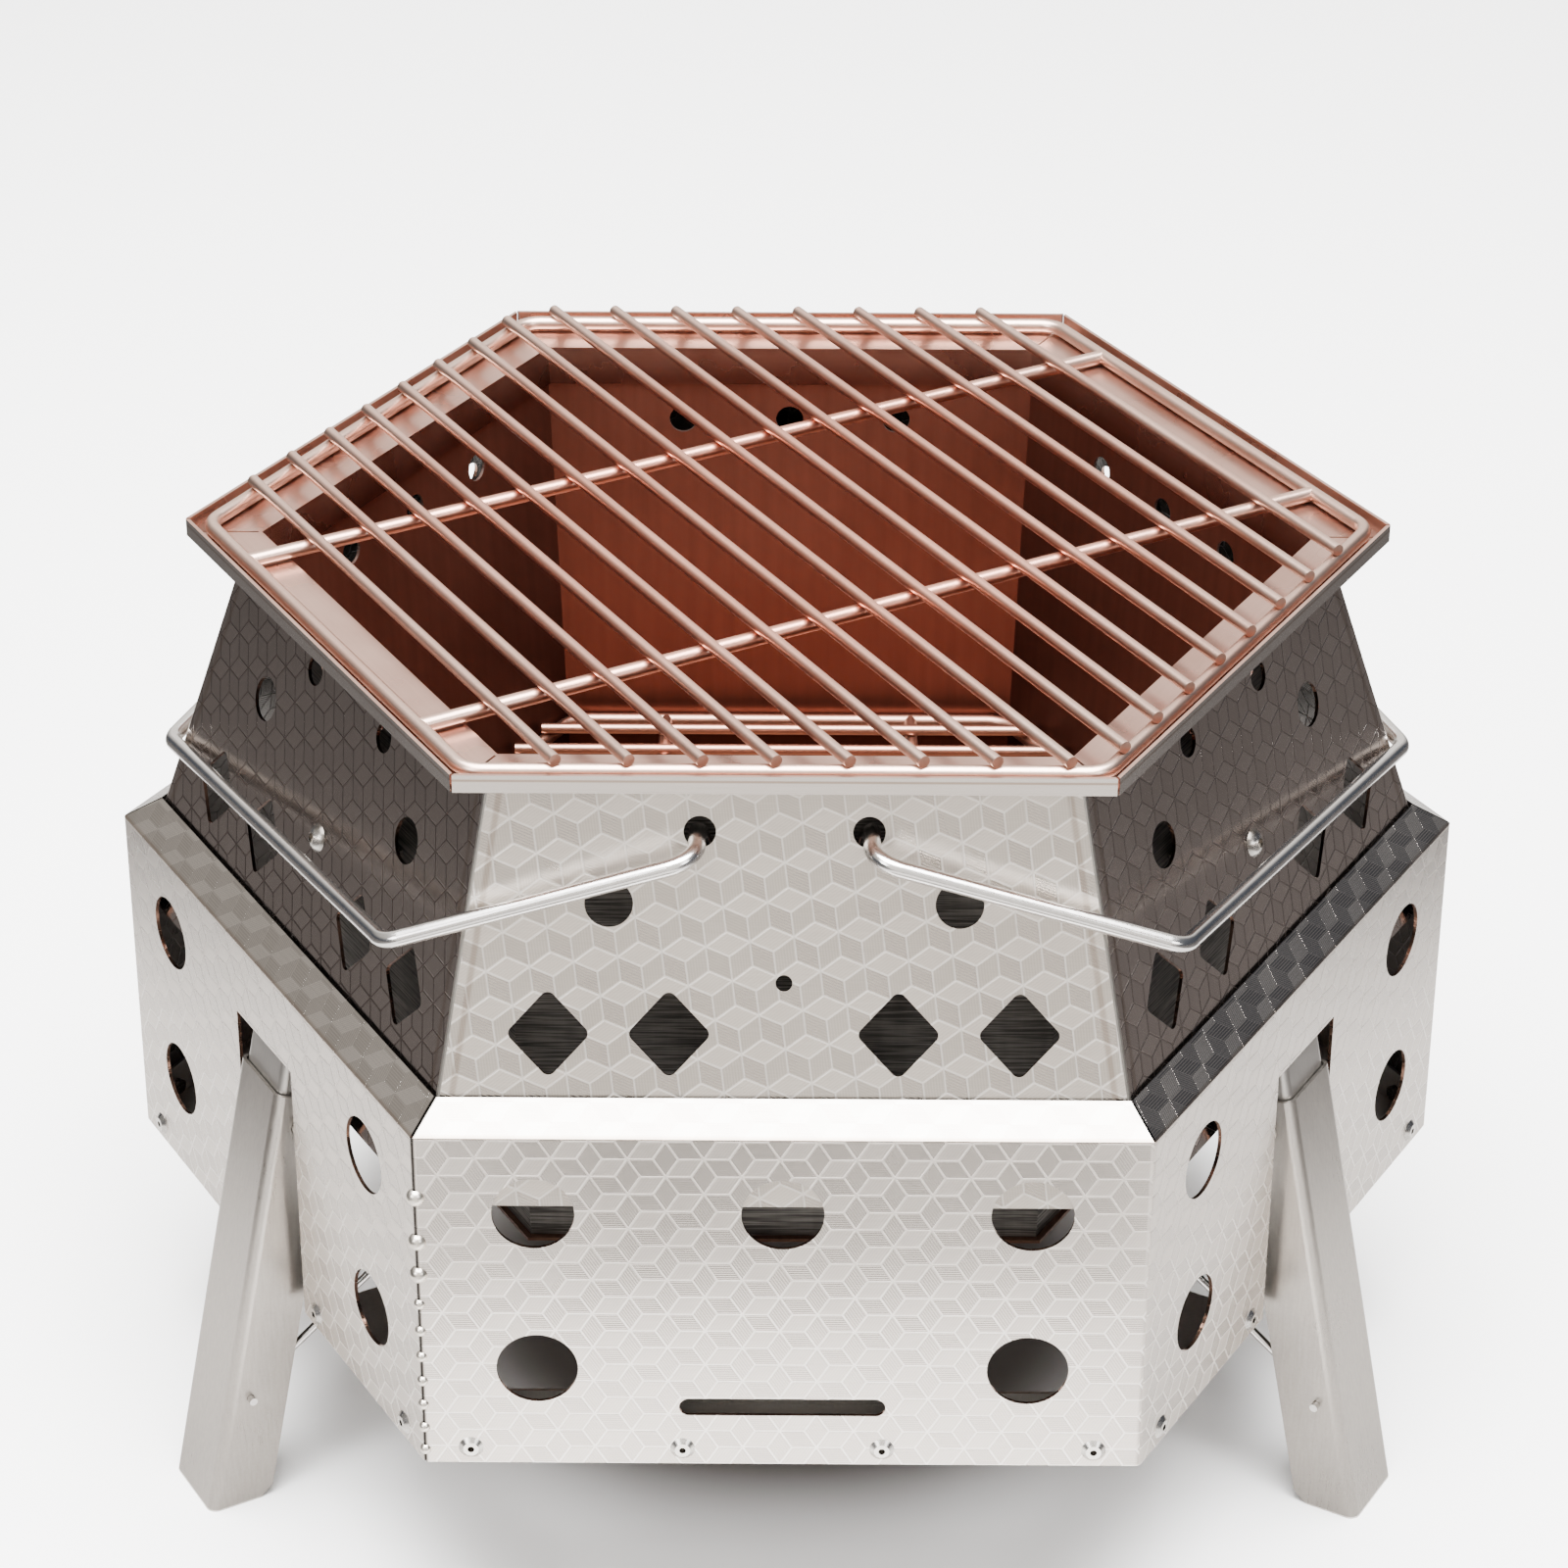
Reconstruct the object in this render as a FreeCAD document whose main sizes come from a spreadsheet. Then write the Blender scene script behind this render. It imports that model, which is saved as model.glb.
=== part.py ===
import FreeCAD, Part
import math
import os
import Sketcher

# Hexagonal stainless fire pit: a pierced base on three folding legs, a tapered outer
# shell, an inward-tapering liner, a rim ledge, a charcoal grate and a grill grate.
# The origin is on the floor, on the axis of the hexagon. Two flat sides face +Y and -Y.

doc = FreeCAD.newDocument("fire_pit")
sheet = doc.addObject("Spreadsheet::Sheet", "sizes")

# ---------------------------------------------------------------- driving dimensions
SIZES = [
    # base
    ("floor_gap", 76.0, "underside of the base above the floor"),
    ("base_corner_radius", 230.0, "axis to the base's outer corners"),
    ("skirt_height", 125.0, "straight wall of the base"),
    ("bevel_rise", 7.5, "height of the sloping top of the base"),
    ("bevel_width", 11.8, "how far the sloping top reaches inwards"),
    ("sheet_thickness", 1.2, "base, shell, rim and ring sheet"),
    ("bend_radius", 2.4, "outer radius of the base's bends"),
    ("seam_gap", 0.4, "open seam between two sheets"),
    ("mitre_gap", 0.9, "open mitre between two flanges"),
    ("vent_diameter", 26.0, "round air holes of the base"),
    ("vent_spacing", 78.0, "side air holes from the middle of a panel"),
    ("vent_upper_drop", 28.0, "upper air holes below the top of the straight wall"),
    ("vent_lower_height", 37.5, "lower air holes above the base's lower edge"),
    ("tab_slot_length", 66.0, "long thin slot in a plain panel"),
    ("tab_slot_width", 6.5, "long thin slot in a plain panel"),
    ("tab_slot_height", 22.5, "long thin slot above the lower edge"),
    ("rivet_height", 6.0, "rivets above the lower edge"),
    ("rivet_inner", 32.0, "inner rivets from the middle of a panel"),
    ("rivet_outer", 100.0, "outer rivets from the middle of a panel"),
    ("rivet_diameter", 4.0, "rivet shank"),
    ("rivet_head_diameter", 8.0, "rivet head"),
    ("ring_width", 30.0, "bottom ring, from the skirt inwards"),
    ("ring_flange_height", 14.0, "flange of the ring behind the rivets"),
    ("ring_lip_height", 6.0, "upturned inner edge of the ring"),
    # legs
    ("leg_slot_width", 43.5, "leg slot in the base"),
    ("leg_slot_drop", 1.5, "top of the leg slot below the shell's lower edge"),
    ("leg_width", 31.0, "leg channel across its web"),
    ("leg_depth", 22.0, "leg channel from web to open side"),
    ("leg_thickness", 1.2, "leg and bracket sheet"),
    ("leg_bend_radius", 3.5, "outer radius of the leg's bends"),
    ("leg_lean", 12.0, "lean of the legs, degrees"),
    ("leg_top", 11.5, "leg above its pivot, along the leg"),
    ("pivot_drop", 28.0, "leg pivot below the shell's lower edge"),
    ("pivot_inset", 4.6, "leg pivot inside the skirt's inner face"),
    ("pin_diameter", 5.0, "leg pivot pin"),
    ("pin_head_diameter", 8.0, "heads of the leg pivot pin"),
    ("running_clearance", 0.08, "radial clearance of a turning pin or wire"),
    ("nest_clearance", 0.4, "between the leg and the bracket inside it"),
    ("shelf_width", 56.0, "bracket shelf under the shell"),
    ("stay_diameter", 2.8, "wire stay"),
    ("stay_hole_drop", 33.0, "stay holes below the base's lower edge"),
    ("stay_hole_inset", 8.3, "stay holes inside the leg's outer face"),
    ("stay_poke", 2.5, "stay ends beyond the leg's sides"),
    ("stay_bar_length", 52.0, "cross bar of the stay"),
    # upper body
    ("shell_overlap", 27.0, "how far the shell reaches down inside the base's wall"),
    ("shell_base_gap", 1.75, "between the base's wall and the shell's lower edge"),
    ("shell_top_radius", 180.7, "axis to the shell's upper corners"),
    ("ledge_height", 235.0, "top of the rim ledge above the base's lower edge"),
    ("rim_overhang", 18.1, "rim's outer face beyond the top of the shell"),
    ("lip_height", 4.8, "upturned edge of the rim"),
    ("rim_flange_drop", 14.0, "rim flange inside the liner"),
    ("liner_thickness", 1.0, "liner sheet"),
    ("liner_top_gap", 0.64, "between the liner and the shell at their top"),
    ("liner_bottom_apothem", 142.0, "axis to the liner's inner face at its bottom"),
    ("liner_bottom_height", 50.0, "liner's lower edge above the base's lower edge"),
    ("liner_hole_diameter", 10.0, "air holes near the top of the liner"),
    ("liner_hole_spacing", 39.0, "air holes from the middle of a panel"),
    ("liner_hole_height", 207.0, "air holes above the base's lower edge"),
    ("floor_hole_diameter", 8.0, "air holes of the ash floor"),
    ("floor_hole_ring", 95.0, "ring of air holes of the ash floor"),
    ("shell_small_diameter", 10.0, "small holes of a shell panel"),
    ("shell_small_spacing", 26.0, "small holes from the middle"),
    ("shell_small_drop", 21.0, "small holes below the panel's top edge"),
    ("shell_large_diameter", 15.0, "large holes of a shell panel"),
    ("shell_large_spacing", 54.0, "large holes from the middle"),
    ("shell_large_drop", 43.8, "large holes below the panel's top edge"),
    ("shell_screw_diameter", 5.2, "screw hole of a shell panel"),
    ("shell_screw_rise", 72.5, "screw hole up the panel"),
    ("diamond_width", 26.4, "diamond openings, across"),
    ("diamond_height", 29.0, "diamond openings, up the panel"),
    ("diamond_inner", 35.5, "inner diamonds from the middle"),
    ("diamond_outer", 73.0, "outer diamonds from the middle"),
    ("diamond_rise", 56.0, "diamonds up the panel"),
    ("diamond_corner", 2.5, "corner radius of the diamonds"),
    ("screw_head_diameter", 9.5, "M5 button head"),
    ("screw_head_height", 2.7, "M5 button head"),
    ("screw_length", 9.0, "M5 screw under its head"),
    ("nut_width", 8.0, "M5 nut across its flats"),
    ("nut_height", 4.0, "M5 nut"),
    ("tie_width", 18.0, "tie strap between liner and shell"),
    ("tie_thickness", 1.5, "tie strap between liner and shell"),
    # handles
    ("handle_diameter", 5.5, "handle wire"),
    ("handle_slope", 17.0, "handle below level at rest, degrees"),
    ("handle_corner_reach", 100.4, "handle's side bends from its pivot line"),
    ("handle_elbow", 9.0, "bend radius of the handle in front of its hole"),
    ("handle_bend", 8.0, "bend radius of the handle's corners"),
    ("handle_tail", 9.0, "hooked end behind the shell"),
    ("rest_gap", 0.35, "gap between a loose part and its seat"),
    # grates
    ("frame_wire", 5.0, "frames and cross rods of the grates"),
    ("bar_wire", 4.0, "bars of the grates"),
    ("grill_side_gap", 2.9, "between the grill frame and the rim's lip"),
    ("grill_corner", 10.0, "bend radius of the grill frame"),
    ("grill_pitch", 19.3, "grill bar spacing"),
    ("grill_bar_count", 16.0, "grill bars"),
    ("grill_rod_offset", 65.0, "cross rods from the middle"),
    ("charcoal_height", 87.0, "charcoal frame above the base's lower edge"),
    ("charcoal_corner", 12.0, "bend radius of the charcoal frame"),
    ("charcoal_pitch", 15.75, "charcoal bar spacing"),
    ("charcoal_bar_count", 17.0, "charcoal bars"),
    ("charcoal_rod_offset", 46.0, "cross rods from the middle"),
    ("bar_overhang", 1.6, "bars past the middle of the frame wire"),
]
for row, (alias, value, note) in enumerate(SIZES, start=1):
    sheet.set("A%d" % row, alias)
    sheet.set("B%d" % row, str(value))
    sheet.set("C%d" % row, note)
    sheet.setAlias("B%d" % row, alias)
doc.recompute()


def size(alias):
    """One driving dimension, read from the sheet."""
    return float(sheet.get(alias))


TAN30 = math.tan(math.radians(30))
COS30 = math.cos(math.radians(30))
PANEL_AZIMUTHS = (30, 90, 150, 210, 270, 330)
LEG_AZIMUTHS = {"back": 90, "front_left": 210, "front_right": 330}
PLAIN_AZIMUTHS = (30, 150, 270)
Z_AXIS = FreeCAD.Vector(0, 0, 1)
Y_AXIS = FreeCAD.Vector(0, 1, 0)
ORIGIN = FreeCAD.Vector(0, 0, 0)
MARGIN = 1.0

base_bottom = size("floor_gap")
skirt_top = base_bottom + size("skirt_height")
bevel_top = skirt_top + size("bevel_rise")
thickness = size("sheet_thickness")
base_apothem = size("base_corner_radius") * COS30
skirt_inner = base_apothem - thickness
shell_bottom = skirt_top - size("shell_overlap")
ledge_top = base_bottom + size("ledge_height")
ledge_under = ledge_top - thickness
shell_bottom_apothem = skirt_inner - size("shell_base_gap")
shell_top_apothem = size("shell_top_radius") * COS30
shell_tilt = math.atan2(shell_bottom_apothem - shell_top_apothem, ledge_under - shell_bottom)
shell_length = (ledge_under - shell_bottom) / math.cos(shell_tilt)
shell_small_rise = shell_length - size("shell_small_drop")
shell_large_rise = shell_length - size("shell_large_drop")
liner_top_apothem = (
    shell_top_apothem
    - thickness / math.cos(shell_tilt)
    - size("liner_top_gap")
    - size("liner_thickness")
)
rim_apothem = shell_top_apothem + size("rim_overhang")
liner_bottom = base_bottom + size("liner_bottom_height")
ring_inner = skirt_inner - size("ring_width")
leg_slot_top = shell_bottom - size("leg_slot_drop")

nodes = []


# ---------------------------------------------------------------- shared helpers
def keep(thing, label):
    """Give a document object its node name and put it in the list of sub-parts."""
    thing.Label = label
    nodes.append(thing)
    return thing


def feature(label, shape, placement=None):
    """A sub-part whose shape is made with Part's own functions."""
    thing = doc.addObject("Part::Feature", label)
    thing.Shape = shape
    if placement is not None:
        thing.Placement = placement
    return keep(thing, label)


def vector(x, y, z):
    return FreeCAD.Vector(x, y, z)


def turned(shape, azimuth):
    """A copy of a shape, turned about the vertical axis."""
    copy = shape.copy()
    copy.rotate(ORIGIN, Z_AXIS, azimuth)
    return copy


def fused(shapes):
    """One clean solid from several that touch or overlap."""
    whole = shapes[0]
    for shape in shapes[1:]:
        whole = whole.fuse(shape)
    return whole.removeSplitter()


def box(x_range, y_range, z_range):
    """An upright box from its three ranges."""
    lengths = [high - low for low, high in (x_range, y_range, z_range)]
    return Part.makeBox(*lengths, vector(x_range[0], y_range[0], z_range[0]))


def hexagon(corner_radius, z, height):
    """An upright hexagonal prism with corners on the X axis."""
    points = []
    for step in range(7):
        angle = math.radians(60 * step)
        points.append(vector(corner_radius * math.cos(angle), corner_radius * math.sin(angle), z))
    return Part.Face(Part.makePolygon(points)).extrude(vector(0, 0, height))


def rounded_hexagon(corner_radius, z, height, bend):
    """An upright hexagonal prism with rounded corners."""
    prism = hexagon(corner_radius, z, height)
    upright = [edge for edge in prism.Edges if edge.BoundBox.ZLength > height / 2]
    return prism.makeFillet(bend, upright)


def mitred_panel(profile, trim=0.0):
    """One side of a hexagonal sheet: an (apothem, z) outline, mitred at both ends."""
    ends = []
    for side in (-1, 1):
        points = [vector(a, side * (a * TAN30 - trim), z) for a, z in profile]
        ends.append(Part.makePolygon(points + [points[0]]))
    return Part.makeLoft(ends, True, True)


def wire_path(points, bend, closed=False):
    """A path of straight runs joined by arcs of one bend radius."""
    count = len(points)
    corners = range(count) if closed else range(1, count - 1)
    starts = {}
    finishes = {}
    arcs = {}
    for index in corners:
        here = points[index]
        before = (points[index - 1] - here).normalize()
        after = (points[(index + 1) % count] - here).normalize()
        half = before.getAngle(after) / 2
        reach = bend / math.tan(half)
        middle = (before + after).normalize()
        depth = bend / math.sin(half) - bend
        finishes[index] = here + before * reach
        starts[index] = here + after * reach
        arcs[index] = Part.Arc(finishes[index], here + middle * depth, starts[index]).toShape()
    edges = []
    for index in range(count if closed else count - 1):
        following = (index + 1) % count
        begin = starts.get(index, points[index])
        end = finishes.get(following, points[following])
        edges.append(Part.makeLine(begin, end))
        if following in arcs:
            edges.append(arcs[following])
    return Part.Wire(edges)


def round_wire(points, diameter, bend, closed=False):
    """A bent round wire that follows the points."""
    path = wire_path(points, bend, closed)
    start = path.OrderedEdges[0].valueAt(path.OrderedEdges[0].FirstParameter)
    heading = path.OrderedEdges[0].tangentAt(path.OrderedEdges[0].FirstParameter)
    ring = Part.Wire(Part.makeCircle(diameter / 2, start, heading))
    return path.makePipeShell([ring], True, False)


def rod(start, end, diameter):
    """A straight round rod from one point to another."""
    return Part.makeCylinder(diameter / 2, start.distanceToPoint(end), start, end - start)


def panel_spots(azimuth, apothem, tangent, z):
    """A point on a hexagon's side, from its middle line."""
    spot = vector(apothem, tangent, z)
    turn = FreeCAD.Rotation(Z_AXIS, azimuth)
    return turn.multVec(spot)


def liner_inner(z):
    """Apothem of the liner's inner face at a height."""
    bottom = size("liner_bottom_apothem")
    rise = (liner_top_apothem - bottom) / (ledge_under - liner_bottom)
    return bottom + (z - liner_bottom) * rise


def shell_outer(z):
    """Apothem of the shell's outer face at a height."""
    return shell_bottom_apothem - (z - shell_bottom) * math.tan(shell_tilt)


liner_tilt = math.atan2(
    liner_top_apothem - size("liner_bottom_apothem"), ledge_under - liner_bottom
)
liner_level_thickness = size("liner_thickness") / math.cos(liner_tilt)
flange_level_thickness = thickness / math.cos(liner_tilt)


# ---------------------------------------------------------------- base skirt, two bent sheets
def vent_cutters(azimuth):
    """Air holes, thin slot or leg slot of one panel of the base."""
    outer = base_apothem + MARGIN
    depth = thickness + 2 * MARGIN
    upper = skirt_top - size("vent_upper_drop")
    lower = base_bottom + size("vent_lower_height")
    spread = size("vent_spacing")
    rivet = base_bottom + size("rivet_height")
    spots = [(side * spread, z) for side in (-1, 1) for z in (upper, lower)]
    plain = azimuth in PLAIN_AZIMUTHS
    if plain:
        spots.append((0.0, upper))
    cutters = []
    for tangent, z in spots:
        start = vector(outer, tangent, z)
        cutters.append(Part.makeCylinder(size("vent_diameter") / 2, depth, start, vector(-1, 0, 0)))
    for tangent in rivet_spots():
        start = vector(outer, tangent, rivet)
        radius = size("rivet_diameter") / 2 + size("running_clearance")
        cutters.append(Part.makeCylinder(radius, depth, start, vector(-1, 0, 0)))
    if plain:
        cutters += thin_slot(outer, depth)
    else:
        half = size("leg_slot_width") / 2
        lowest = base_bottom - MARGIN
        cutters.append(box((outer - depth, outer), (-half, half), (lowest, leg_slot_top)))
    return [turned(cutter, azimuth) for cutter in cutters]


def thin_slot(outer, depth):
    """The long thin slot with round ends, as a box and two cylinders."""
    half_width = size("tab_slot_width") / 2
    half_run = size("tab_slot_length") / 2 - half_width
    z = base_bottom + size("tab_slot_height")
    pieces = [box((outer - depth, outer), (-half_run, half_run), (z - half_width, z + half_width))]
    for tangent in (-half_run, half_run):
        start = vector(outer, tangent, z)
        pieces.append(Part.makeCylinder(half_width, depth, start, vector(-1, 0, 0)))
    return pieces


def rivet_spots():
    """Places of the four rivets along a panel."""
    return (-size("rivet_outer"), -size("rivet_inner"), size("rivet_inner"), size("rivet_outer"))


def make_skirt():
    """The whole base: bent wall, sloping flanges and every opening."""
    bend = size("bend_radius")
    height = skirt_top - base_bottom
    wall = rounded_hexagon(size("base_corner_radius"), base_bottom, height, bend)
    core = rounded_hexagon(
        skirt_inner / COS30, base_bottom - MARGIN, height + 2 * MARGIN, bend - thickness
    )
    wall = wall.cut(core)
    run = size("bevel_width")
    rise = size("bevel_rise")
    slope = math.hypot(run, rise)
    drop = thickness * run / slope
    inset = thickness * rise / slope
    inner_edge = base_apothem - run
    under_start = skirt_top - drop + (thickness - inset) * rise / run
    under_end = under_start + (skirt_inner - inner_edge) * rise / run
    flange = mitred_panel(
        [
            (base_apothem, skirt_top),
            (inner_edge, bevel_top),
            (inner_edge, under_end),
            (skirt_inner, under_start),
        ],
        size("mitre_gap") / 2,
    )
    whole = fused([wall] + [turned(flange, azimuth) for azimuth in PANEL_AZIMUTHS])
    cutters = []
    for azimuth in PANEL_AZIMUTHS:
        cutters += vent_cutters(azimuth)
    return whole.cut(Part.makeCompound(cutters))


def half_space(azimuth):
    """A big block on one side of the base's two welded corners."""
    reach = 2 * size("base_corner_radius")
    block = box((size("seam_gap") / 2, reach), (-reach, reach), (0, reach))
    return turned(block, azimuth)


SEAM_AZIMUTHS = (60, 240)
skirt = make_skirt()
feature("base_skirt_front", skirt.common(half_space(330)))
feature("base_skirt_back", skirt.common(half_space(150)))


# ---------------------------------------------------------------- corner welds
def make_corner_welds():
    """Small weld beads down the two open corners of the base."""
    solid_base = hexagon(size("base_corner_radius"), 0, 2 * skirt_top)
    bead_count = 10
    large_count = 3
    first = base_bottom + 0.82 * size("skirt_height")
    last = base_bottom + 0.04 * size("skirt_height")
    beads = []
    for azimuth in SEAM_AZIMUTHS:
        for index in range(bead_count):
            share = index / (bead_count - 1)
            z = first + (last - first) * share ** 0.8
            radius = 3.0 if index < large_count else 1.9
            place = vector(size("base_corner_radius") - 0.35 * radius, 0, z)
            bead = Part.makeSphere(radius, place)
            bead = turned(bead, azimuth)
            beads.append(bead.cut(solid_base))
    return Part.makeCompound(beads)


feature("corner_welds", make_corner_welds())


# ---------------------------------------------------------------- bottom ring, three pieces
def ring_panel():
    """One side of the bottom ring: rivet flange, plate and upturned lip."""
    top = base_bottom + thickness
    outer = (skirt_inner - thickness, skirt_inner)
    lip = (ring_inner, ring_inner + thickness)
    return mitred_panel(
        [
            (outer[1], base_bottom),
            (outer[1], base_bottom + size("ring_flange_height")),
            (outer[0], base_bottom + size("ring_flange_height")),
            (outer[0], top),
            (lip[1], top),
            (lip[1], base_bottom + size("ring_lip_height")),
            (lip[0], base_bottom + size("ring_lip_height")),
            (lip[0], base_bottom),
        ]
    )


def make_ring():
    """The bottom ring with its leg notches and rivet holes."""
    ring = fused([turned(ring_panel(), azimuth) for azimuth in PANEL_AZIMUTHS])
    bends = (size("bend_radius") - thickness) / 2
    cutters = []
    for azimuth in PANEL_AZIMUTHS:
        for tangent in rivet_spots():
            start = vector(skirt_inner + MARGIN, tangent, base_bottom + size("rivet_height"))
            radius = size("rivet_diameter") / 2 + size("running_clearance")
            hole = Part.makeCylinder(radius, thickness + 2 * MARGIN, start, vector(-1, 0, 0))
            cutters.append(turned(hole, azimuth))
        corner = vector(skirt_inner / COS30, 0, 0)
        relief = Part.makeCylinder(bends + thickness, skirt_top, corner)
        cutters.append(turned(relief, azimuth + 30))
    half = size("leg_slot_width") / 2
    for azimuth in LEG_AZIMUTHS.values():
        notch = box((ring_inner - MARGIN, base_apothem), (-half, half), (0, skirt_top))
        cutters.append(turned(notch, azimuth))
    return ring.cut(Part.makeCompound(cutters))


ring = make_ring()
for azimuth, label in zip(PLAIN_AZIMUTHS, ("right", "left", "front")):
    solids = [
        solid
        for solid in ring.Solids
        if solid.CenterOfMass.dot(panel_spots(azimuth, 1, 0, 0)) > ring_inner / 2
    ]
    feature("bottom_ring_" + label, solids[0])


# ---------------------------------------------------------------- rivets
def make_rivet():
    """A blind rivet, its axis along X, its head outside the skirt."""
    shank = size("rivet_diameter") / 2
    head = size("rivet_head_diameter") / 2
    head_height = 1.3
    grip = 2 * thickness
    x = base_apothem
    dome = Part.makeCone(head, 0.62 * head, head_height, vector(x, 0, 0), vector(1, 0, 0))
    body = Part.makeCylinder(shank, grip, vector(x - grip, 0, 0), vector(1, 0, 0))
    tail = Part.makeCylinder(1.35 * shank, 2.2, vector(x - grip - 2.2, 0, 0), vector(1, 0, 0))
    bore_start = vector(x - thickness, 0, 0)
    bore = Part.makeCylinder(0.55 * shank, head_height + 2 * thickness, bore_start, vector(1, 0, 0))
    return fused([dome, body, tail]).cut(bore)


def make_rivets():
    """All the rivets of the base as one group of solids."""
    rivet = make_rivet()
    pieces = []
    for azimuth in PANEL_AZIMUTHS:
        for tangent in rivet_spots():
            copy = rivet.copy()
            copy.translate(vector(0, tangent, base_bottom + size("rivet_height")))
            pieces.append(turned(copy, azimuth))
    return Part.makeCompound(pieces)


feature("skirt_rivets", make_rivets())


# ---------------------------------------------------------------- legs, brackets, pins, stays
# One leg is drawn along +X. Its own frame has the pivot as origin, x out of the web
# and z up the leg; the frame leans inwards at the top by leg_lean.
lean = math.radians(size("leg_lean"))
half_leg = size("leg_width") / 2
half_depth = size("leg_depth") / 2
pivot = vector(skirt_inner - size("pivot_inset"), 0, shell_bottom - size("pivot_drop"))
leg_turn = FreeCAD.Rotation(Y_AXIS, -size("leg_lean"))
leg_frame = FreeCAD.Placement(pivot, leg_turn)


def channel(outer_x, inner_x, half_width, sheet_size, bend, z_low, z_high):
    """A channel with its web on the +x side, open on the -x side."""
    block = box((inner_x, outer_x), (-half_width, half_width), (z_low, z_high))
    corners = [
        edge
        for edge in block.Edges
        if edge.BoundBox.ZLength > MARGIN and edge.BoundBox.XMin > outer_x - MARGIN
    ]
    block = block.makeFillet(bend, corners)
    inside = half_width - sheet_size
    hollow = box(
        (inner_x - MARGIN, outer_x - sheet_size),
        (-inside, inside),
        (z_low - MARGIN, z_high + MARGIN),
    )
    corners = [
        edge
        for edge in hollow.Edges
        if edge.BoundBox.ZLength > MARGIN and edge.BoundBox.XMin > inner_x
    ]
    return block.cut(hollow.makeFillet(bend - sheet_size, corners))


def placed(shape, frame):
    """A copy of a shape, carried into a frame."""
    copy = shape.copy()
    copy.Placement = frame.multiply(copy.Placement)
    return copy


def stay_hole():
    """Middle of the stay's lower holes, in the plane of the leg."""
    z = base_bottom - size("stay_hole_drop")
    outer = pivot.x + (half_depth + (pivot.z - z) * math.sin(lean)) / math.cos(lean)
    return vector(outer - size("stay_hole_inset"), 0, z)


def make_leg():
    """A folding leg: a channel cut level at the floor, with its pin and stay holes."""
    below = pivot.z / math.cos(lean) + 2 * half_depth
    top = size("leg_top")
    shape = channel(
        half_depth, -half_depth, half_leg, size("leg_thickness"), size("leg_bend_radius"), -below, top
    )
    corner = 0.3 * size("leg_depth")
    shape = shape.cut(top_corner(corner, top))
    pin_radius = size("pin_diameter") / 2 + size("running_clearance")
    reach = size("leg_width") + 2 * MARGIN
    pin_hole = Part.makeCylinder(pin_radius, reach, vector(0, -reach / 2, 0), Y_AXIS)
    shape = placed(shape.cut(pin_hole), leg_frame)
    wire_radius = size("stay_diameter") / 2 + size("running_clearance")
    spot = stay_hole() - vector(0, reach / 2, 0)
    shape = shape.cut(Part.makeCylinder(wire_radius, reach, spot, Y_AXIS))
    wide = 2 * pivot.x
    shape = shape.cut(box((0, wide), (-wide, wide), (-wide, 0)))
    return shape.cut(foot_corner())


def top_corner(corner, top):
    """The triangle cut off the open top corner of the leg."""
    points = [
        vector(-half_depth - MARGIN, 0, top + MARGIN),
        vector(-half_depth + corner, 0, top + MARGIN),
        vector(-half_depth - MARGIN, 0, top - corner),
    ]
    face = Part.Face(Part.makePolygon(points + [points[0]]))
    solid = face.extrude(vector(0, 2 * size("leg_width"), 0))
    solid.translate(vector(0, -size("leg_width"), 0))
    return solid


def foot_corner():
    """The small triangle cut off the open side of the foot."""
    corner = 5.0
    inner = pivot.x + (-half_depth + pivot.z * math.sin(lean)) / math.cos(lean)
    points = [
        vector(inner - corner, 0, -MARGIN),
        vector(inner + corner, 0, -MARGIN),
        vector(inner - corner, 0, 1.6 * corner),
    ]
    face = Part.Face(Part.makePolygon(points + [points[0]]))
    solid = face.extrude(vector(0, 2 * size("leg_width"), 0))
    solid.translate(vector(0, -size("leg_width"), 0))
    return solid


def make_bracket():
    """The channel that a leg turns on, with a shelf under the shell and a tab on the skirt."""
    gap = size("nest_clearance")
    sheet_size = size("leg_thickness")
    outer = half_depth - sheet_size - gap
    inner = -outer + 2.0
    half_width = half_leg - sheet_size - gap
    radius = outer - 1.6
    high = 2 * (skirt_top - pivot.z)
    shape = channel(outer, inner, half_width, sheet_size, size("leg_bend_radius") - 0.5, 0, high)
    for side in (-1, 1):
        start = vector(0, side * half_width, 0)
        shape = shape.fuse(Part.makeCylinder(radius, sheet_size, start, vector(0, -side, 0)))
    shape = shape.cut(box((outer - sheet_size - 2, outer + MARGIN), (-half_leg, half_leg), (-high, 3)))
    reach = size("leg_width") + 2 * MARGIN
    pin_hole = Part.makeCylinder(size("pin_diameter") / 2, reach, vector(0, -reach / 2, 0), Y_AXIS)
    shape = placed(shape.cut(pin_hole), leg_frame)
    shelf_top = shell_bottom - thickness * math.sin(shell_tilt)
    shelf_low = shelf_top - sheet_size
    wide = 2 * pivot.x
    shape = shape.cut(box((0, wide), (-wide, wide), (shelf_low, wide)))
    half = size("shelf_width") / 2
    tab_inner = skirt_inner - sheet_size
    shelf_inner = pivot.x - size("leg_depth")
    shelf = box((shelf_inner, skirt_inner), (-half, half), (shelf_low, shelf_top))
    tab = box((tab_inner, skirt_inner), (-half, half), (shelf_low, shelf_top + 11.0))
    return fused([shape, shelf, tab])


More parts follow.
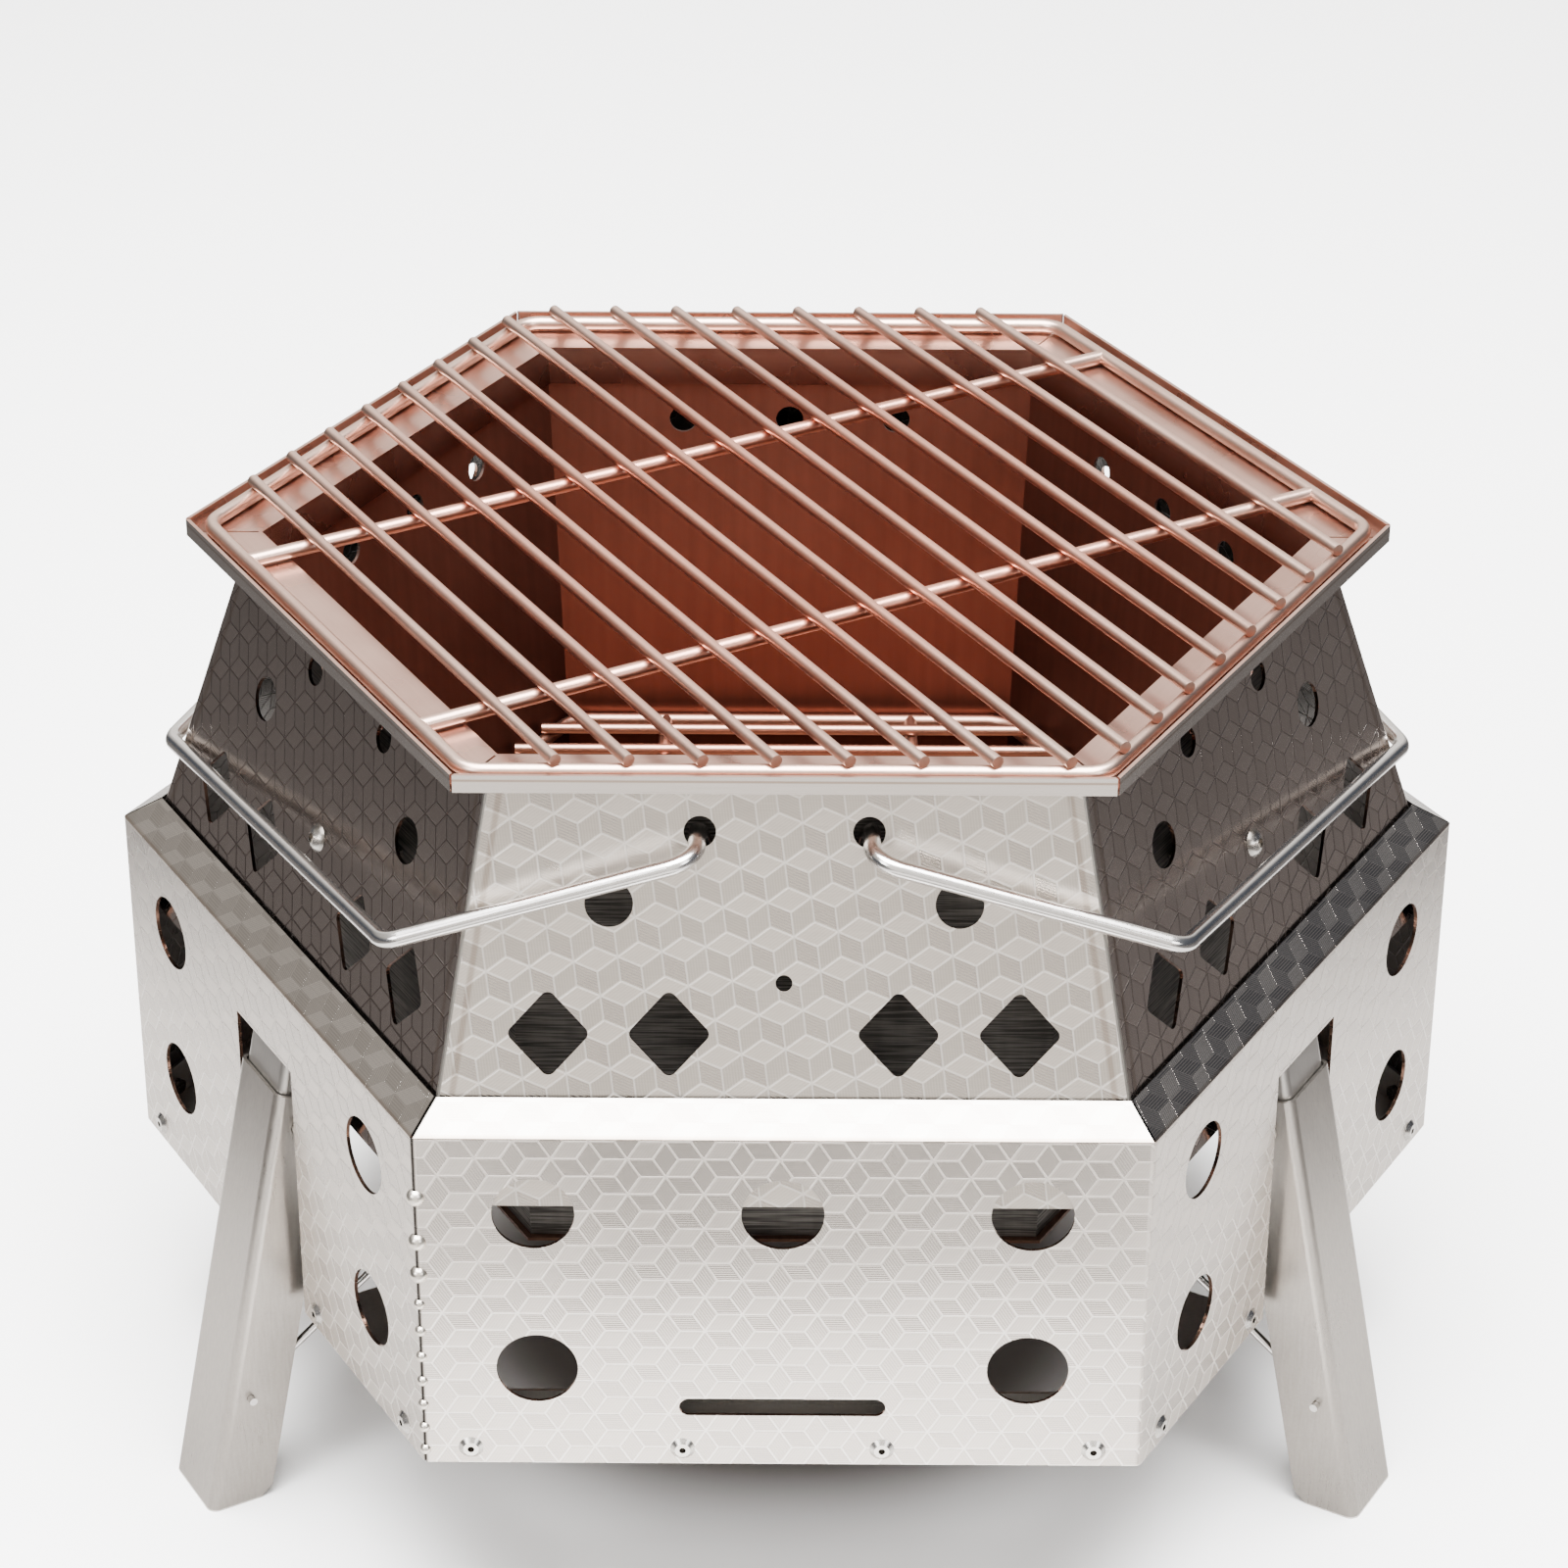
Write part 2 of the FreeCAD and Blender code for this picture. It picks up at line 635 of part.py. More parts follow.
def make_pin():
    """A headed pivot pin across the leg."""
    radius = size("pin_diameter") / 2
    head = size("pin_head_diameter") / 2
    inside = half_leg + size("rest_gap")
    head_height = 1.5
    shank = Part.makeCylinder(radius, 2 * inside, vector(pivot.x, -inside, pivot.z), Y_AXIS)
    left = Part.makeCylinder(head, head_height, vector(pivot.x, inside, pivot.z), Y_AXIS)
    right_start = vector(pivot.x, -inside - head_height, pivot.z)
    right = Part.makeCylinder(head, head_height, right_start, Y_AXIS)
    return fused([shank, left, right])


def stay_bar_spot():
    """Middle of the stay's cross bar, behind the ring's upturned lip."""
    radius = size("stay_diameter") / 2
    return vector(ring_inner - radius - size("rest_gap"), 0, base_bottom + size("ring_lip_height") / 2)


def make_stay():
    """A wire stay: two arms hooked through the leg's sides and a cross bar at the top."""
    wire = size("stay_diameter")
    low = stay_hole()
    high = stay_bar_spot()
    inside = half_leg - size("leg_thickness") - wire / 2 - 1.4
    pieces = []
    for side in (-1, 1):
        tip = low + vector(0, side * (half_leg + size("stay_poke")), 0)
        elbow = low + vector(0, side * inside, 0)
        top = high + vector(0, side * inside, 0)
        pieces.append(round_wire([tip, elbow, top], wire, 0.62 * wire))
    half = size("stay_bar_length") / 2
    pieces.append(rod(high - vector(0, half, 0), high + vector(0, half, 0), wire))
    return fused(pieces)


leg_shape = make_leg()
bracket_shape = make_bracket()
pin_shape = make_pin()
stay_shape = make_stay()
for place, azimuth in LEG_AZIMUTHS.items():
    spin = FreeCAD.Placement(ORIGIN, FreeCAD.Rotation(Z_AXIS, azimuth))
    feature("leg_bracket_" + place, bracket_shape, spin)
    feature("leg_pin_" + place, pin_shape, spin)
    feature("leg_" + place, leg_shape, spin)
    feature("leg_stay_" + place, stay_shape, spin)


# ---------------------------------------------------------------- outer shell, six flat panels
# Each panel is a flat plate: x runs along its lower edge, y up the panel and z out of
# the outer face. Its side edges stop short of the corner by the width of the seam.
seam_trim = thickness * TAN30 + 0.11
PANEL_NAMES = {
    30: "right_back",
    90: "back",
    150: "left_back",
    210: "front_left",
    270: "front",
    330: "front_right",
}


def origin_plane(body, role):
    """One of a body's own origin planes."""
    for plane in body.Origin.OriginFeatures:
        if plane.Role == role:
            return plane
    raise ValueError(role)


def new_sketch(body, name):
    """A sketch on the body's own XY plane."""
    sketch = body.newObject("Sketcher::SketchObject", name)
    sketch.AttachmentSupport = [(origin_plane(body, "XY_Plane"), "")]
    sketch.MapMode = "FlatFace"
    return sketch


def bind(sketch, constraint, expression):
    """Add a sketch dimension and bind it to the sheet."""
    index = sketch.addConstraint(constraint)
    sketch.setExpression("Constraints[%d]" % index, expression)


# the panel's length up its slope, as the sketches read it from the sheet
SLANT_RISE = (
    "(sizes.ledge_height - sizes.sheet_thickness - sizes.skirt_height + sizes.shell_overlap)"
)
SLANT_RUN = (
    "((sizes.base_corner_radius - sizes.shell_top_radius) * cos(30 deg)"
    " - sizes.sheet_thickness - sizes.shell_base_gap)"
)
SLANT = "sqrt(%s^2 + %s^2)" % (SLANT_RISE, SLANT_RUN)


def trapezoid_sketch(body):
    """Outline of a shell panel, bound to the sheet."""
    sketch = new_sketch(body, "outline")
    half_low = shell_bottom_apothem * TAN30 - seam_trim
    half_high = shell_top_apothem * TAN30 - seam_trim
    corners = [(-half_low, 0), (half_low, 0), (half_high, shell_length), (-half_high, shell_length)]
    points = [vector(x, y, 0) for x, y in corners]
    for index in range(4):
        sketch.addGeometry(Part.LineSegment(points[index], points[(index + 1) % 4]), False)
    for index in range(4):
        sketch.addConstraint(Sketcher.Constraint("Coincident", index, 2, (index + 1) % 4, 1))
    sketch.addConstraint(Sketcher.Constraint("PointOnObject", 0, 1, -1))
    trim = "2 * (sizes.sheet_thickness * tan(30 deg) + 0.11)"
    low = Sketcher.Constraint("DistanceX", 0, 1, 0, 2, 2 * half_low)
    inset = "(sizes.sheet_thickness + sizes.shell_base_gap) / cos(30 deg)"
    bind(sketch, low, "sizes.base_corner_radius - %s - %s" % (inset, trim))
    high = Sketcher.Constraint("DistanceX", 2, 2, 2, 1, 2 * half_high)
    bind(sketch, high, "sizes.shell_top_radius - " + trim)
    sketch.addConstraint(Sketcher.Constraint("Symmetric", 0, 1, 0, 2, -2))
    sketch.addConstraint(Sketcher.Constraint("Symmetric", 2, 2, 2, 1, -2))
    tall = Sketcher.Constraint("DistanceY", 0, 2, 1, 2, shell_length)
    bind(sketch, tall, SLANT)
    return sketch


def hole_sketch(body):
    """The five round holes of a shell panel, bound to the sheet."""
    sketch = new_sketch(body, "round_holes")
    small = SLANT + " - sizes.shell_small_drop"
    large = SLANT + " - sizes.shell_large_drop"
    holes = [
        ("shell_screw_diameter", None, size("shell_screw_rise"), "sizes.shell_screw_rise"),
        ("shell_small_diameter", "shell_small_spacing", shell_small_rise, small),
        ("shell_large_diameter", "shell_large_spacing", shell_large_rise, large),
    ]
    for diameter, spacing, rise, formula in holes:
        for side in (1,) if spacing is None else (-1, 1):
            across = 0.0 if spacing is None else side * size(spacing)
            centre = vector(across, rise, 0)
            circle = Part.Circle(centre, Z_AXIS, size(diameter) / 2)
            index = sketch.addGeometry(circle, False)
            width = Sketcher.Constraint("Diameter", index, size(diameter))
            bind(sketch, width, "sizes." + diameter)
            up = Sketcher.Constraint("DistanceY", -1, 1, index, 3, rise)
            bind(sketch, up, formula)
            if spacing is None:
                sketch.addConstraint(Sketcher.Constraint("PointOnObject", index, 3, -2))
            elif side > 0:
                out = Sketcher.Constraint("DistanceX", -1, 1, index, 3, size(spacing))
                bind(sketch, out, "sizes." + spacing)
            else:
                out = Sketcher.Constraint("DistanceX", index, 3, -1, 1, size(spacing))
                bind(sketch, out, "sizes." + spacing)
    return sketch


def diamond(centre_x, centre_y, depth):
    """A diamond-shaped cutter with rounded corners."""
    wide = size("diamond_width") / 2
    tall = size("diamond_height") / 2
    spots = [(wide, 0), (0, tall), (-wide, 0), (0, -tall)]
    points = [vector(centre_x + x, centre_y + y, -depth / 2) for x, y in spots]
    path = wire_path(points, size("diamond_corner"), closed=True)
    return Part.Face(path).extrude(vector(0, 0, depth))


def panel_placement(azimuth):
    """Where a shell panel stands: its lower edge out at the bottom, leaning inwards."""
    out = vector(math.cos(shell_tilt), 0, math.sin(shell_tilt))
    up = vector(-math.sin(shell_tilt), 0, math.cos(shell_tilt))
    along = vector(0, 1, 0)
    turn = FreeCAD.Rotation(along, up, out, "ZXY")
    spot = FreeCAD.Placement(vector(shell_bottom_apothem, 0, shell_bottom), turn)
    spin = FreeCAD.Placement(ORIGIN, FreeCAD.Rotation(Z_AXIS, azimuth))
    return spin.multiply(spot)


def make_shell_panel(azimuth):
    """One shell panel: a plate with its round holes pocketed and its diamonds cut."""
    name = PANEL_NAMES[azimuth]
    body = doc.addObject("PartDesign::Body", "plate_" + name)
    outline = trapezoid_sketch(body)
    pad = body.newObject("PartDesign::Pad", "plate")
    pad.Profile = outline
    pad.setExpression("Length", "sizes.sheet_thickness")
    pad.Reversed = True
    doc.recompute()
    whole = body.Shape.Volume
    pocket = body.newObject("PartDesign::Pocket", "hole_pocket")
    pocket.Profile = hole_sketch(body)
    pocket.Type = "ThroughAll"
    pocket.Midplane = True
    body.Tip = pocket
    doc.recompute()
    if not body.Shape.Volume < whole:
        raise RuntimeError("the shell panel's holes cut nothing")
    cutters = []
    for across in (size("diamond_inner"), size("diamond_outer")):
        for side in (-1, 1):
            cutters.append(diamond(side * across, size("diamond_rise"), 4 * thickness))
    tool = doc.addObject("Part::Feature", "diamonds_" + name)
    tool.Shape = Part.makeCompound(cutters)
    cut = doc.addObject("Part::Cut", "shell_panel_" + name)
    cut.Base = body
    cut.Tool = tool
    cut.Placement = panel_placement(azimuth)
    return keep(cut, "shell_panel_" + name)


for azimuth in PANEL_AZIMUTHS:
    make_shell_panel(azimuth)


def seam_outline(apothem, z):
    """Section of a corner seam between two panel edges, at one height."""
    corner = apothem / COS30
    trim = seam_trim
    recess = 0.3
    spots = [
        (corner - recess, 0),
        (corner - trim * math.sin(math.radians(30)), trim * COS30),
        (corner - 2 * trim, 0),
        (corner - trim * math.sin(math.radians(30)), -trim * COS30),
    ]
    points = [vector(x, y, z) for x, y in spots]
    return Part.makePolygon(points + [points[0]])


def make_seams():
    """The welds that close the six corners of the shell."""
    low = shell_bottom + MARGIN
    high = ledge_under - MARGIN
    pieces = []
    for azimuth in PANEL_AZIMUTHS:
        ends = [seam_outline(shell_outer(z), z) for z in (low, high)]
        pieces.append(turned(Part.makeLoft(ends, True, True), azimuth + 30))
    return Part.makeCompound(pieces)


feature("shell_corner_seams", make_seams())


# ---------------------------------------------------------------- liner and ash floor
def make_liner():
    """The inner wall: six sides that close in towards the ash floor."""
    profile = [
        (liner_inner(liner_bottom), liner_bottom),
        (liner_inner(liner_bottom) + liner_level_thickness, liner_bottom),
        (liner_inner(ledge_under) + liner_level_thickness, ledge_under),
        (liner_inner(ledge_under), ledge_under),
    ]
    side = mitred_panel(profile)
    holes = []
    z = base_bottom + size("liner_hole_height")
    start = liner_inner(z) - 5 * MARGIN
    for step in (-1, 0, 1):
        spot = vector(start, step * size("liner_hole_spacing"), z)
        holes.append(Part.makeCylinder(size("liner_hole_diameter") / 2, 10 * MARGIN, spot, vector(1, 0, 0)))
    side = side.cut(Part.makeCompound(holes))
    return fused([turned(side, azimuth) for azimuth in PANEL_AZIMUTHS])


feature("liner", make_liner())


def make_ash_floor():
    """A hexagonal plate under the liner, bound to the sheet, with a ring of air holes."""
    plate = doc.addObject("Part::Prism", "ash_plate")
    plate.Polygon = 6
    overhang = 2.0
    reach = "(sizes.liner_bottom_apothem + sizes.liner_thickness + %g) / cos(30 deg)" % overhang
    plate.setExpression("Circumradius", reach)
    plate.setExpression("Height", "sizes.sheet_thickness")
    low = "sizes.floor_gap + sizes.liner_bottom_height - sizes.sheet_thickness"
    plate.setExpression("Placement.Base.z", low)
    doc.recompute()
    hole_count = 12
    hole_depth = thickness + 2 * MARGIN
    low_face = liner_bottom - thickness - MARGIN
    holes = []
    for ring_radius in (size("floor_hole_ring"), size("floor_hole_ring") / 2):
        for index in range(hole_count):
            angle = math.radians(360 * index / hole_count)
            spot = vector(ring_radius * math.cos(angle), ring_radius * math.sin(angle), low_face)
            holes.append(Part.makeCylinder(size("floor_hole_diameter") / 2, hole_depth, spot))
    tool = doc.addObject("Part::Feature", "ash_holes")
    tool.Shape = Part.makeCompound(holes)
    cut = doc.addObject("Part::Cut", "ash_floor")
    cut.Base = plate
    cut.Tool = tool
    return keep(cut, "ash_floor")


make_ash_floor()


# ---------------------------------------------------------------- rim
def make_rim():
    """The ledge round the opening: six mitred ledges with a lip, on one inner flange."""
    low = ledge_top - size("rim_flange_drop")
    lip_outer = rim_apothem
    lip_inner = lip_outer - thickness
    lip_top = ledge_top + size("lip_height")
    flange_top = liner_inner(ledge_top)
    flange = mitred_panel(
        [
            (liner_inner(low) - flange_level_thickness, low),
            (liner_inner(low), low),
            (liner_inner(ledge_under), ledge_under),
            (liner_inner(ledge_under), ledge_top),
            (flange_top - flange_level_thickness, ledge_top),
        ]
    )
    ledge = mitred_panel(
        [
            (liner_inner(ledge_under) - MARGIN / 2, ledge_under),
            (lip_outer, ledge_under),
            (lip_outer, lip_top),
            (lip_inner, lip_top),
            (lip_inner, ledge_top),
            (liner_inner(ledge_under) - MARGIN / 2, ledge_top),
        ],
        size("mitre_gap") / 2,
    )
    flanges = [turned(flange, azimuth) for azimuth in PANEL_AZIMUTHS]
    ledges = [turned(ledge, azimuth) for azimuth in PANEL_AZIMUTHS]
    return fused(flanges + ledges)


feature("rim_ledge", make_rim())


# ---------------------------------------------------------------- ties, screws and nuts
screw_z = shell_bottom + size("shell_screw_rise") * math.cos(shell_tilt)
screw_spot = vector(shell_outer(screw_z), 0, screw_z)
screw_axis = vector(math.cos(shell_tilt), 0, math.sin(shell_tilt))
shell_up = vector(-math.sin(shell_tilt), 0, math.cos(shell_tilt))


def liner_outer_point(z):
    return vector(liner_inner(z) + liner_level_thickness, 0, z)


def make_tie():
    """A strap welded to the liner, with an upturned tab behind the shell panel."""
    strap = size("tie_thickness")
    reach = 9.0
    shell_back = screw_spot - screw_axis * thickness
    tab_top = shell_back + shell_up * reach
    bend = shell_back - shell_up * reach
    shelf_z = bend.z
    points = [
        tab_top,
        bend,
        liner_outer_point(shelf_z),
        liner_outer_point(shelf_z + strap),
        bend - screw_axis * strap + shell_up * (strap * 1.05),
        tab_top - screw_axis * strap,
    ]
    face = Part.Face(Part.makePolygon(points + [points[0]]))
    solid = face.extrude(vector(0, size("tie_width"), 0))
    solid.translate(vector(0, -size("tie_width") / 2, 0))
    radius = size("shell_screw_diameter") / 2
    start = shell_back + screw_axis * MARGIN
    return solid.cut(Part.makeCylinder(radius, strap + 2 * MARGIN, start, screw_axis * -1))


def make_screw():
    """An M5 button-head screw with a hexagon socket."""
    shank_radius = size("shell_screw_diameter") / 2 - 0.1
    head_radius = size("screw_head_diameter") / 2
    height = size("screw_head_height")
    dome_radius = (head_radius ** 2 + height ** 2) / (2 * height)
    centre = vector(0, 0, height - dome_radius)
    ball = Part.makeSphere(dome_radius, centre)
    slab = Part.makeCylinder(head_radius, height, ORIGIN)
    head = ball.common(slab)
    shank = Part.makeCylinder(shank_radius, size("screw_length"), vector(0, 0, -size("screw_length")))
    socket = hexagon(3.0 / (2 * COS30), height - 1.5, 3.0)
    return fused([head, shank]).cut(socket)


def make_nut():
    """An M5 nut behind the tie."""
    seat = thickness + size("tie_thickness")
    body = hexagon(size("nut_width") / (2 * COS30), -seat - size("nut_height"), size("nut_height"))
    radius = size("shell_screw_diameter") / 2 - 0.1
    bore = Part.makeCylinder(radius, size("nut_height"), vector(0, 0, -seat - size("nut_height")))
    return body.cut(bore)


def at_screws(shape, frame):
    """One copy of a shape at each of the three screwed panels."""
    copies = []
    for azimuth in LEG_AZIMUTHS.values():
        copies.append(turned(placed(shape, frame), azimuth))
    return Part.makeCompound(copies)


screw_frame = FreeCAD.Placement(screw_spot, FreeCAD.Rotation(Z_AXIS, screw_axis))
feature("liner_ties", at_screws(make_tie(), FreeCAD.Placement()))
feature("shell_screws", at_screws(make_screw(), screw_frame))
feature("shell_nuts", at_screws(make_nut(), screw_frame))


# ---------------------------------------------------------------- handles
def handle_pivot():
    """The right handle's turning line: low and outwards in the small holes."""
    hole_z = shell_bottom + shell_small_rise * math.cos(shell_tilt)
    play = (size("shell_small_diameter") - size("handle_diameter")) / 2 - size("rest_gap")
    return vector(size("shell_small_spacing") + 0.4 * play, 0, hole_z - 0.77 * play)


def make_handle():
    """The right-hand bail, hanging against the corner of the shell."""
    wire = size("handle_diameter")
    turn = handle_pivot()
    slope = math.radians(size("handle_slope"))
    face = shell_outer(turn.z)
    side_y = rim_apothem + wire / 2 + size("rest_gap")
    reach = size("handle_corner_reach")
    gap = (wire / 2 + size("rest_gap")) / math.cos(shell_tilt)
    gap += size("handle_bend") * (1 / COS30 - 1) + 0.6

    def down(distance):
        """A point of the bail's plane, outwards from the turning line."""
        return turn.x + distance * math.cos(slope), turn.z - distance * math.sin(slope)

    # the corner of the shell leans inwards; find where the bail's plane meets it
    corner_rate = math.tan(shell_tilt) / COS30
    corner_at_turn = shell_outer(turn.z) / COS30
    meeting = (corner_at_turn - turn.x) / (math.cos(slope) - corner_rate * math.sin(slope))
    tip = meeting + gap / math.cos(slope)
    hook_y = face - thickness - wire / 2 - size("rest_gap") - 2.0
    tail = size("handle_tail")
    x_side, z_side = down(reach)
    x_tip, z_tip = down(tip)
    half = [
        vector(turn.x - tail * math.sin(slope), hook_y, turn.z - tail * math.cos(slope)),
        vector(turn.x, hook_y, turn.z),
        vector(turn.x, side_y, turn.z),
        vector(x_side, side_y, z_side),
    ]
    points = half + [vector(x_tip, 0, z_tip)]
    points += [vector(point.x, -point.y, point.z) for point in reversed(half)]
    return bail_wire(points, wire)


def bail_wire(points, wire):
    """The bail's wire: tight bends behind the shell, wide ones in front of it."""
    tight = 0.7 * wire
    elbow = size("handle_elbow")
    wide = size("handle_bend")
    arm = between(points[2], points[3])
    far_arm = between(points[-3], points[-4])
    inner = points[1] + (points[2] - points[1]) * 0.3
    far_inner = points[-2] + (points[-3] - points[-2]) * 0.3
    runs = [
        round_wire([points[0], points[1], inner], wire, tight),
        round_wire([inner, points[2], arm], wire, elbow),
        round_wire([arm] + points[3:6] + [far_arm], wire, wide),
        round_wire([far_arm, points[-3], far_inner], wire, elbow),
        round_wire([far_inner, points[-2], points[-1]], wire, tight),
    ]
    return fused(runs)


def between(start, end):
    """The point half way between two others."""
    return (start + end) * 0.5


handle_shape = make_handle()
feature("handle_right", handle_shape)
feature("handle_left", handle_shape, FreeCAD.Placement(ORIGIN, FreeCAD.Rotation(Z_AXIS, 180)))


# ---------------------------------------------------------------- grates
def hex_frame(apothem, bend, wire, z):
    """A closed hexagon of bent wire."""
    radius = apothem / COS30
    points = []
    for step in range(6):
        angle = math.radians(60 * step)
        points.append(vector(radius * math.cos(angle), radius * math.sin(angle), z))
    middle = between(points[5], points[0])
    path = wire_path(points, bend, closed=True)
    ring = Part.Wire(Part.makeCircle(wire / 2, middle, points[0] - points[5]))
    edges = path.Edges
    start = min(range(len(edges)), key=lambda index: middle.distanceToPoint(edge_middle(edges[index])))
    order = edges[start:] + edges[:start]
    first = Part.makeLine(middle, order[0].valueAt(order[0].LastParameter))
    last = Part.makeLine(order[0].valueAt(order[0].FirstParameter), middle)
    spine = Part.Wire([first] + order[1:] + [last])
    return spine.makePipeShell([ring], True, False)


def edge_middle(edge):
    """The middle of a straight edge or an arc."""
    return edge.valueAt((edge.FirstParameter + edge.LastParameter) / 2)


def grate_bars(count, pitch, apothem, wire, z, heading):
    """Parallel bars across a hexagonal frame, as one group of solids."""
    direction = vector(math.cos(math.radians(heading)), math.sin(math.radians(heading)), 0)
    across = vector(-direction.y, direction.x, 0)
    pieces = []
    for index in range(count):
        offset = (index - (count - 1) / 2) * pitch
        half = apothem / COS30 - abs(offset) * TAN30 + size("bar_overhang")
        middle = across * offset + vector(0, 0, z)
        pieces.append(rod(middle - direction * half, middle + direction * half, wire))
    return Part.makeCompound(pieces)


def cross_rods(offset, half, wire, z, heading):
    """Two straight rods across a frame, either side of its middle."""
    direction = vector(math.cos(math.radians(heading)), math.sin(math.radians(heading)), 0)
    across = vector(-direction.y, direction.x, 0)
    pieces = []
    for side in (-1, 1):
        middle = across * (side * offset) + vector(0, 0, z)
        pieces.append(rod(middle - direction * half, middle + direction * half, wire))
    return Part.makeCompound(pieces)


def coped(rods, frame):
    """Rods whose ends are cut to fit round a frame's wire."""
    pieces = []
    for rod_solid in rods.Solids:
        left = rod_solid.cut(frame)
        pieces.append(max(left.Solids, key=lambda solid: solid.Volume))
    return Part.makeCompound(pieces)


frame_wire = size("frame_wire")
bar_wire = size("bar_wire")
bar_rise = (frame_wire + bar_wire) / 2

grill_z = ledge_top + size("rest_gap") + frame_wire / 2
grill_apothem = rim_apothem - thickness - size("grill_side_gap") - frame_wire / 2
grill_frame = hex_frame(grill_apothem, size("grill_corner"), frame_wire, grill_z)
feature("grill_frame", grill_frame)
feature(
    "grill_bars",
    grate_bars(
        int(size("grill_bar_count")), size("grill_pitch"), grill_apothem, bar_wire, grill_z + bar_rise, 300
    ),
)
grill_rods = cross_rods(size("grill_rod_offset"), grill_apothem, frame_wire, grill_z, 30)
feature("grill_cross_rods", coped(grill_rods, grill_frame))

charcoal_z = base_bottom + size("charcoal_height")
charcoal_seat = (frame_wire / 2 + size("rest_gap")) / math.cos(liner_tilt)
charcoal_apothem = liner_inner(charcoal_z) - charcoal_seat
charcoal_frame = hex_frame(charcoal_apothem, size("charcoal_corner"), frame_wire, charcoal_z)
feature("charcoal_frame", charcoal_frame)
feature(
    "charcoal_bars",
    grate_bars(
        int(size("charcoal_bar_count")),
        size("charcoal_pitch"),
        charcoal_apothem,
        bar_wire,
        charcoal_z + bar_rise,
        0,
    ),
)
charcoal_rods = cross_rods(
    size("charcoal_rod_offset"), charcoal_apothem, frame_wire, charcoal_z, 90
)
feature("charcoal_cross_rods", coped(charcoal_rods, charcoal_frame))


# ---------------------------------------------------------------- checks and export
doc.recompute()
for thing in doc.Objects:
    if "Invalid" in thing.State or "Error" in thing.State:
        raise RuntimeError("%s is in state %s" % (thing.Label, thing.State))
for node in nodes:
    if node.Shape.isNull() or not node.Shape.isValid() or not node.Shape.Solids:
        raise RuntimeError("%s has no valid shape" % node.Label)

os.makedirs("parts", exist_ok=True)
for node in nodes:
    node.Shape.exportStep("parts/%s.step" % node.Label)
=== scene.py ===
import math

import bpy
from mathutils import Euler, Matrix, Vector


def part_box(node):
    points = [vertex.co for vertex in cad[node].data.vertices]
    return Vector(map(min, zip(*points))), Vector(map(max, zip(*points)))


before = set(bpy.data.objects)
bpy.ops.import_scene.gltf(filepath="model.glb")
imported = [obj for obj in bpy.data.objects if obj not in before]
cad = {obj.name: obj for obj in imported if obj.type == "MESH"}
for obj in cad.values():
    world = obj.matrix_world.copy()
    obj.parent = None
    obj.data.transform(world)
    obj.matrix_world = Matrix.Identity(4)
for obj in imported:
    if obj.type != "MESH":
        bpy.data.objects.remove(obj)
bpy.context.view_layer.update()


# ------------------------------------------------------------------ node helpers
class Graph:
    """Small helper to write a material's nodes as expressions."""

    def __init__(self, tree):
        self.tree = tree

    def node(self, kind, **settings):
        made = self.tree.nodes.new(kind)
        for name, value in settings.items():
            setattr(made, name, value)
        return made

    def feed(self, socket, value):
        if isinstance(value, bpy.types.NodeSocket):
            self.tree.links.new(value, socket)
        else:
            socket.default_value = value

    def math(self, operation, *values):
        made = self.node("ShaderNodeMath", operation=operation)
        for socket, value in zip(made.inputs, values):
            self.feed(socket, value)
        return made.outputs[0]

    def add(self, a, b):
        return self.math("ADD", a, b)

    def sub(self, a, b):
        return self.math("SUBTRACT", a, b)

    def mul(self, a, b):
        return self.math("MULTIPLY", a, b)

    def total(self, *values):
        result = values[0]
        for value in values[1:]:
            result = self.add(result, value)
        return result

    def smooth(self, value, low, high, start=0.0, end=1.0):
        """Smooth step from start at low to end at high."""
        made = self.node("ShaderNodeMapRange", interpolation_type="SMOOTHSTEP")
        for name, item in (
            ("Value", value),
            ("From Min", low),
            ("From Max", high),
            ("To Min", start),
            ("To Max", end),
        ):
            self.feed(made.inputs[name], item)
        return made.outputs["Result"]

    def split(self, vector):
        made = self.node("ShaderNodeSeparateXYZ")
        self.feed(made.inputs[0], vector)
        return made.outputs[0], made.outputs[1], made.outputs[2]

    def join(self, x, y, z=0.0):
        made = self.node("ShaderNodeCombineXYZ")
        for socket, value in zip(made.inputs, (x, y, z)):
            self.feed(socket, value)
        return made.outputs[0]

    def mix(self, factor, a, b):
        """Mix two colours."""
        made = self.node("ShaderNodeMix", data_type="RGBA")
        self.feed(made.inputs[0], factor)
        self.feed(made.inputs[6], a)
        self.feed(made.inputs[7], b)
        return made.outputs[2]

    def shade(self, colour, amount):
        """A colour made lighter or darker by a number."""
        made = self.node("ShaderNodeVectorMath", operation="SCALE")
        self.feed(made.inputs[0], colour[:3] if isinstance(colour, tuple) else colour)
        self.feed(made.inputs["Scale"], amount)
        return made.outputs[0]

    def noise(self, vector, scale, detail=3.0, roughness=0.5):
        made = self.node("ShaderNodeTexNoise")
        self.feed(made.inputs["Vector"], vector)
        made.inputs["Scale"].default_value = scale
        made.inputs["Detail"].default_value = detail
        made.inputs["Roughness"].default_value = roughness
        return made.outputs[0]

    def position(self):
        return self.node("ShaderNodeTexCoord").outputs["Object"]

    def facing(self):
        return self.node("ShaderNodeTexCoord").outputs["Normal"]

    def bump(self, height, strength, distance):
        made = self.node("ShaderNodeBump")
        made.inputs["Strength"].default_value = strength
        made.inputs["Distance"].default_value = distance
        self.feed(made.inputs["Height"], height)
        return made.outputs[0]


def rgba(red, green, blue):
    return (red, green, blue, 1.0)


